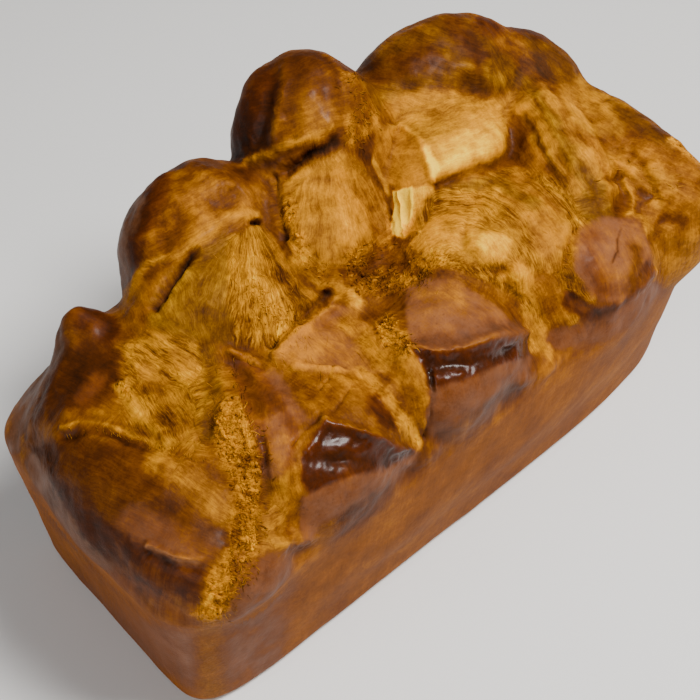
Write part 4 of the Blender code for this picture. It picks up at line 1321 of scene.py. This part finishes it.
def crumb_shape(draw, centre, normal, size):
    """An uneven crumb, half sunk in what it lies on: each face of an octahedron split in four."""
    corners = [np.array(c, dtype=float) for c in CRUMB_CORNERS]
    faces, halfway = [], {}
    for a, b, c in CRUMB_SIDES:
        mid = []
        for p, q in ((a, b), (b, c), (c, a)):
            key = (min(p, q), max(p, q))
            if key not in halfway:
                middle = corners[p] + corners[q]
                corners.append(middle / np.linalg.norm(middle))
                halfway[key] = len(corners) - 1
            mid.append(halfway[key])
        ab, bc, ca = mid
        faces += [(a, ab, ca), (ab, b, bc), (ca, bc, c), (ab, bc, ca)]
    turn = np.linalg.qr(draw.normal(size=(3, 3)))[0]
    if np.linalg.det(turn) < 0:
        turn[0] = -turn[0]
    stretch = np.array([draw.uniform(0.7, 1.5), draw.uniform(0.6, 1.1), draw.uniform(0.4, 0.8)])
    points = []
    for corner in corners:
        wobble = 1.0 + draw.uniform(-0.28, 0.28)
        points.append(centre + normal * size * 0.15 + (corner * stretch * wobble) @ turn * size)
    return points, faces


# Properties

class LoafShape(bpy.types.PropertyGroup):
    cells_along: IntProperty(name="Cells Along", description="Mesh cells along the crown",
                             default=640, min=40, max=1200)
    cells_across: IntProperty(name="Cells Across", description="Mesh cells across the crown",
                              default=400, min=20, max=900)
    wall_rows: IntProperty(name="Wall Rows", description="Rows of cells up the tin walls",
                           default=40, min=2, max=120)
    relief: FloatProperty(name="Relief", description="Share of the cracks and ridges that is applied",
                          default=1.0, min=0.0, max=2.0, subtype="FACTOR")


def colour_property(name, description, value):
    return FloatVectorProperty(name=name, description=description, default=value, size=3, min=0.0, max=1.0,
                               subtype="COLOR")


class CrustColours(bpy.types.PropertyGroup):
    cream: colour_property("Cream", "Torn crumb that never browned", (1.0, 0.61, 0.026))
    straw: colour_property("Straw", "Pale torn dough", (0.84, 0.385, 0.008))
    gold: colour_property("Gold", "Lightly baked dough", (0.60, 0.225, 0.0050))
    tan: colour_property("Tan", "Golden tan dough", (0.40, 0.150, 0.0040))
    amber: colour_property("Amber", "Orange-brown crust", (0.235, 0.080, 0.0030))
    brown: colour_property("Brown", "Well baked crust", (0.126, 0.0355, 0.0020))
    mahogany: colour_property("Mahogany", "Dark glazed crust", (0.063, 0.0155, 0.0016))
    chocolate: colour_property("Chocolate", "Darkest glazed crust", (0.029, 0.0080, 0.0013))
    char: colour_property("Char", "Deep gaps", (0.014, 0.0040, 0.0010))
    # Bloom colour: the dusty pink film, and also the painted grey-pink sheen and pink highlight
    bloom: colour_property("Bloom", "Dusty pink film on the crust", (0.33, 0.135, 0.062))


class StudioSetup(bpy.types.PropertyGroup):
    key_power: FloatProperty(name="Key Power", default=15.5, min=0.0, max=200.0, unit="POWER",
                             description="Power of the large soft light above the long side")
    fill_power: FloatProperty(name="Fill Power", default=3.2, min=0.0, max=200.0, unit="POWER",
                              description="Power of the soft light on the camera's left")
    sky: FloatProperty(name="Sky", description="Strength of the even light all round",
                       default=0.15, min=0.0, max=5.0)


# Operators

class BRIOCHE_OT_loaf(bpy.types.Operator):
    """Model the loaf's crust with its cracks, torn strings and crumb, and give it its finish"""
    bl_idname = "brioche.loaf"
    bl_label = "Loaf"

    def execute(self, context):
        shape = context.scene.brioche_shape
        points, faces = loaf_surface(shape.cells_along, shape.cells_across, shape.wall_rows)
        mesh = bpy.data.meshes.new("brioche_loaf")
        mesh.from_pydata(points.tolist(), [], faces)
        mesh.shade_smooth()
        normals = vertex_normals(mesh)
        seen, u, v = sight_share(points, normals)
        cells = (shape.cells_along + 1, shape.cells_across + 1)
        seen = evened(seen, cells, SEEN_ROUNDS[0])
        points = kneaded(points, cells, u, v, seen)
        set_points(mesh, points)
        normals = vertex_normals(mesh)
        seen, u, v = sight_share(points, normals)
        seen = evened(seen, cells, SEEN_ROUNDS[1])
        finish = plain_finish(points, normals)
        finish += (painted_finish(u, v, finish.copy(), points) - finish) * seen[:, None]
        strings = string_places(u, v, points)
        above_base = smooth(0.0002, 0.003, points[:, 2])
        rise = pixel_relief(u, v, points) * seen * shape.relief * above_base
        points = points + normals * (rise * MM)[:, None]
        set_points(mesh, points)
        normals = vertex_normals(mesh)
        rise = fine_relief(points, finish, strings) * above_base
        # Painted light on strings and crumbs that stand up, painted shade on sunk ones
        relief_light_and_shade = RISEN_PAINTED_LIGHT * rise * (finish[:, 3] + finish[:, 4])
        finish[:, 0] -= np.clip(relief_light_and_shade, -RISEN_PAINTED_MOST, RISEN_PAINTED_MOST)
        points = points + normals * (rise * MM)[:, None]
        points[:, 2] = np.maximum(points[:, 2], 0.0)
        set_points(mesh, points)
        normals = vertex_normals(mesh)
        # Painted shade in the hollows, painted light on proud places
        for rounds, change, most in HOLLOW_PAINTED_SHADE:
            finish[:, 0] += np.clip(change * hollowness(points, normals, cells, rounds), PROUD_PAINTED_LIGHT, most)
        store_finish(mesh, finish, strings)
        mesh.materials.append(crust_finish("crust_baked", context.scene.brioche_colours))
        loaf = bpy.data.objects.new("brioche_loaf", mesh)
        context.scene.collection.objects.link(loaf)
        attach(loaf, "root")
        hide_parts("loaf")
        SKIN["loaf"] = Skin(points, vertex_normals(mesh), u, v, seen, finish)
        return {"FINISHED"}


class BRIOCHE_OT_strands(bpy.types.Operator):
    """Add torn strings and flakes that stand up from the tears"""
    bl_idname = "brioche.strands"
    bl_label = "Torn Strands"

    def execute(self, context):
        skin = SKIN["loaf"]
        draw = np.random.default_rng(STRAND_SEED)
        heap = Heap()
        for _, line, spread, count, angle, length, width, lift in TUFTS:
            for _ in range(count):
                u, v = spread_place(draw, line, spread)
                turn = math.radians(angle + draw.normal(0.0, 14.0 if width < 0.25 else 60.0))
                size = draw.uniform(0.45, 1.15)
                made = loose_strand(draw, skin, u, v, turn, length * size, width * draw.uniform(0.6, 1.2),
                                    lift * draw.uniform(0.1, 1.3), draw.uniform(-0.9, 0.9))
                if made is None:
                    continue
                points, faces, row = made
                baked = max(0.10, skin.finish[row, 0] + draw.uniform(*STRAND_BAKE))
                heap.add(points, faces, (baked,) + STRAND_FINISH, len(heap.points))
        heap.piece("torn_strands", bpy.data.materials["crust_baked"])
        return {"FINISHED"}


class BRIOCHE_OT_crumbs(bpy.types.Operator):
    """Scatter crumbs over the shaggy tears"""
    bl_idname = "brioche.crumbs"
    bl_label = "Crumbs"

    def execute(self, context):
        skin = SKIN["loaf"]
        draw = np.random.default_rng(CRUMB_SEED)
        heap = Heap()
        likely = np.clip(skin.finish[skin.rows, 4] - 0.35, 0.0, 1.0)
        chosen = draw.choice(skin.rows, size=CRUMB_COUNT, replace=False, p=likely / likely.sum())
        for number, row in enumerate(chosen.tolist()):
            size = draw.lognormal(math.log(CRUMB_SIZE), 0.5)
            points, faces = crumb_shape(draw, skin.points[row], skin.normals[row], min(size, CRUMB_LARGEST))
            baked = max(0.05, skin.finish[row, 0] + draw.uniform(*CRUMB_BAKE))
            heap.add(points, faces, (baked,) + CRUMB_FINISH, number)
        heap.piece("crumbs", bpy.data.materials["crust_baked"])
        return {"FINISHED"}


def soft_light(name, place, aim, size, power, colour):
    """A square soft light that points at the aim."""
    lamp = bpy.data.lights.new(name, "AREA")
    lamp.shape = "SQUARE"
    lamp.size = size
    lamp.energy = power
    lamp.color = colour
    item = bpy.data.objects.new(name, lamp)
    item.location = place
    item.rotation_euler = (Vector(aim) - Vector(place)).to_track_quat("-Z", "Y").to_euler()
    bpy.context.scene.collection.objects.link(item)


class BRIOCHE_OT_stage(bpy.types.Operator):
    """Set the plain pale floor, the soft studio light and the camera"""
    bl_idname = "brioche.stage"
    bl_label = "Stage"

    def execute(self, context):
        studio = context.scene.brioche_studio
        mesh = bpy.data.meshes.new("floor")
        corners = [(x * FLOOR_REACH, y * FLOOR_REACH, 0) for x, y in ((-1, -1), (1, -1), (1, 1), (-1, 1))]
        mesh.from_pydata(corners, [], [(0, 1, 2, 3)])
        look = Finish("floor_pale")
        grey = look.noise(look.node("ShaderNodeTexCoord", "Object"), 3.0, 2.0)
        look.set("Base Color", look.blend(grey, *FLOOR_COLOURS))
        look.shader.inputs["Roughness"].default_value = 0.6
        mesh.materials.append(look.material)
        floor = bpy.data.objects.new("floor", mesh)
        context.scene.collection.objects.link(floor)
        soft_light("key", KEY_PLACE, KEY_AIM, KEY_SIZE, studio.key_power, KEY_COLOUR)
        soft_light("fill", FILL_PLACE, FILL_AIM, FILL_SIZE, studio.fill_power, FILL_COLOUR)
        world = bpy.data.worlds.new("studio")
        world.use_nodes = True
        sky = world.node_tree.nodes["Background"]
        sky.inputs["Color"].default_value = SKY_COLOUR
        sky.inputs["Strength"].default_value = studio.sky
        context.scene.world = world
        self.add_camera(context)
        return {"FINISHED"}

    def add_camera(self, context):
        lens = bpy.data.cameras.new("photo_view")
        lens.sensor_width = SENSOR
        lens.lens = FOCAL_PIXELS * SENSOR / PHOTO_SIZE
        lens.clip_start = 0.01
        camera = bpy.data.objects.new("photo_view", lens)
        turn = Matrix(camera_turn().tolist()).transposed().to_4x4()
        camera.matrix_world = Matrix.Translation(Vector(camera_eye())) @ turn
        context.scene.collection.objects.link(camera)
        context.scene.camera = camera


class BRIOCHE_PT_sidebar(bpy.types.Panel):
    """Brioche loaf tools"""
    bl_label = "Brioche Loaf"
    bl_idname = "BRIOCHE_PT_sidebar"
    bl_space_type = "VIEW_3D"
    bl_region_type = "UI"
    bl_category = "Brioche"

    def draw(self, context):
        for step in STEPS:
            self.layout.operator(step.bl_idname)
        for place, group in GROUPS:
            for name in group.__annotations__:
                self.layout.prop(getattr(context.scene, place), name)


GROUPS = (("brioche_shape", LoafShape), ("brioche_colours", CrustColours), ("brioche_studio", StudioSetup))
STEPS = (BRIOCHE_OT_loaf, BRIOCHE_OT_strands, BRIOCHE_OT_crumbs, BRIOCHE_OT_stage)


def register():
    for name, group in GROUPS:
        bpy.utils.register_class(group)
        setattr(bpy.types.Scene, name, PointerProperty(type=group))
    for item in STEPS + (BRIOCHE_PT_sidebar,):
        bpy.utils.register_class(item)


def unregister():
    for item in reversed(STEPS + (BRIOCHE_PT_sidebar,)):
        bpy.utils.unregister_class(item)
    for name, group in reversed(GROUPS):
        delattr(bpy.types.Scene, name)
        bpy.utils.unregister_class(group)


def main():
    register()
    bpy.ops.brioche.loaf()
    bpy.ops.brioche.strands()
    bpy.ops.brioche.crumbs()
    bpy.ops.brioche.stage()


if __name__ == "__main__":
    main()
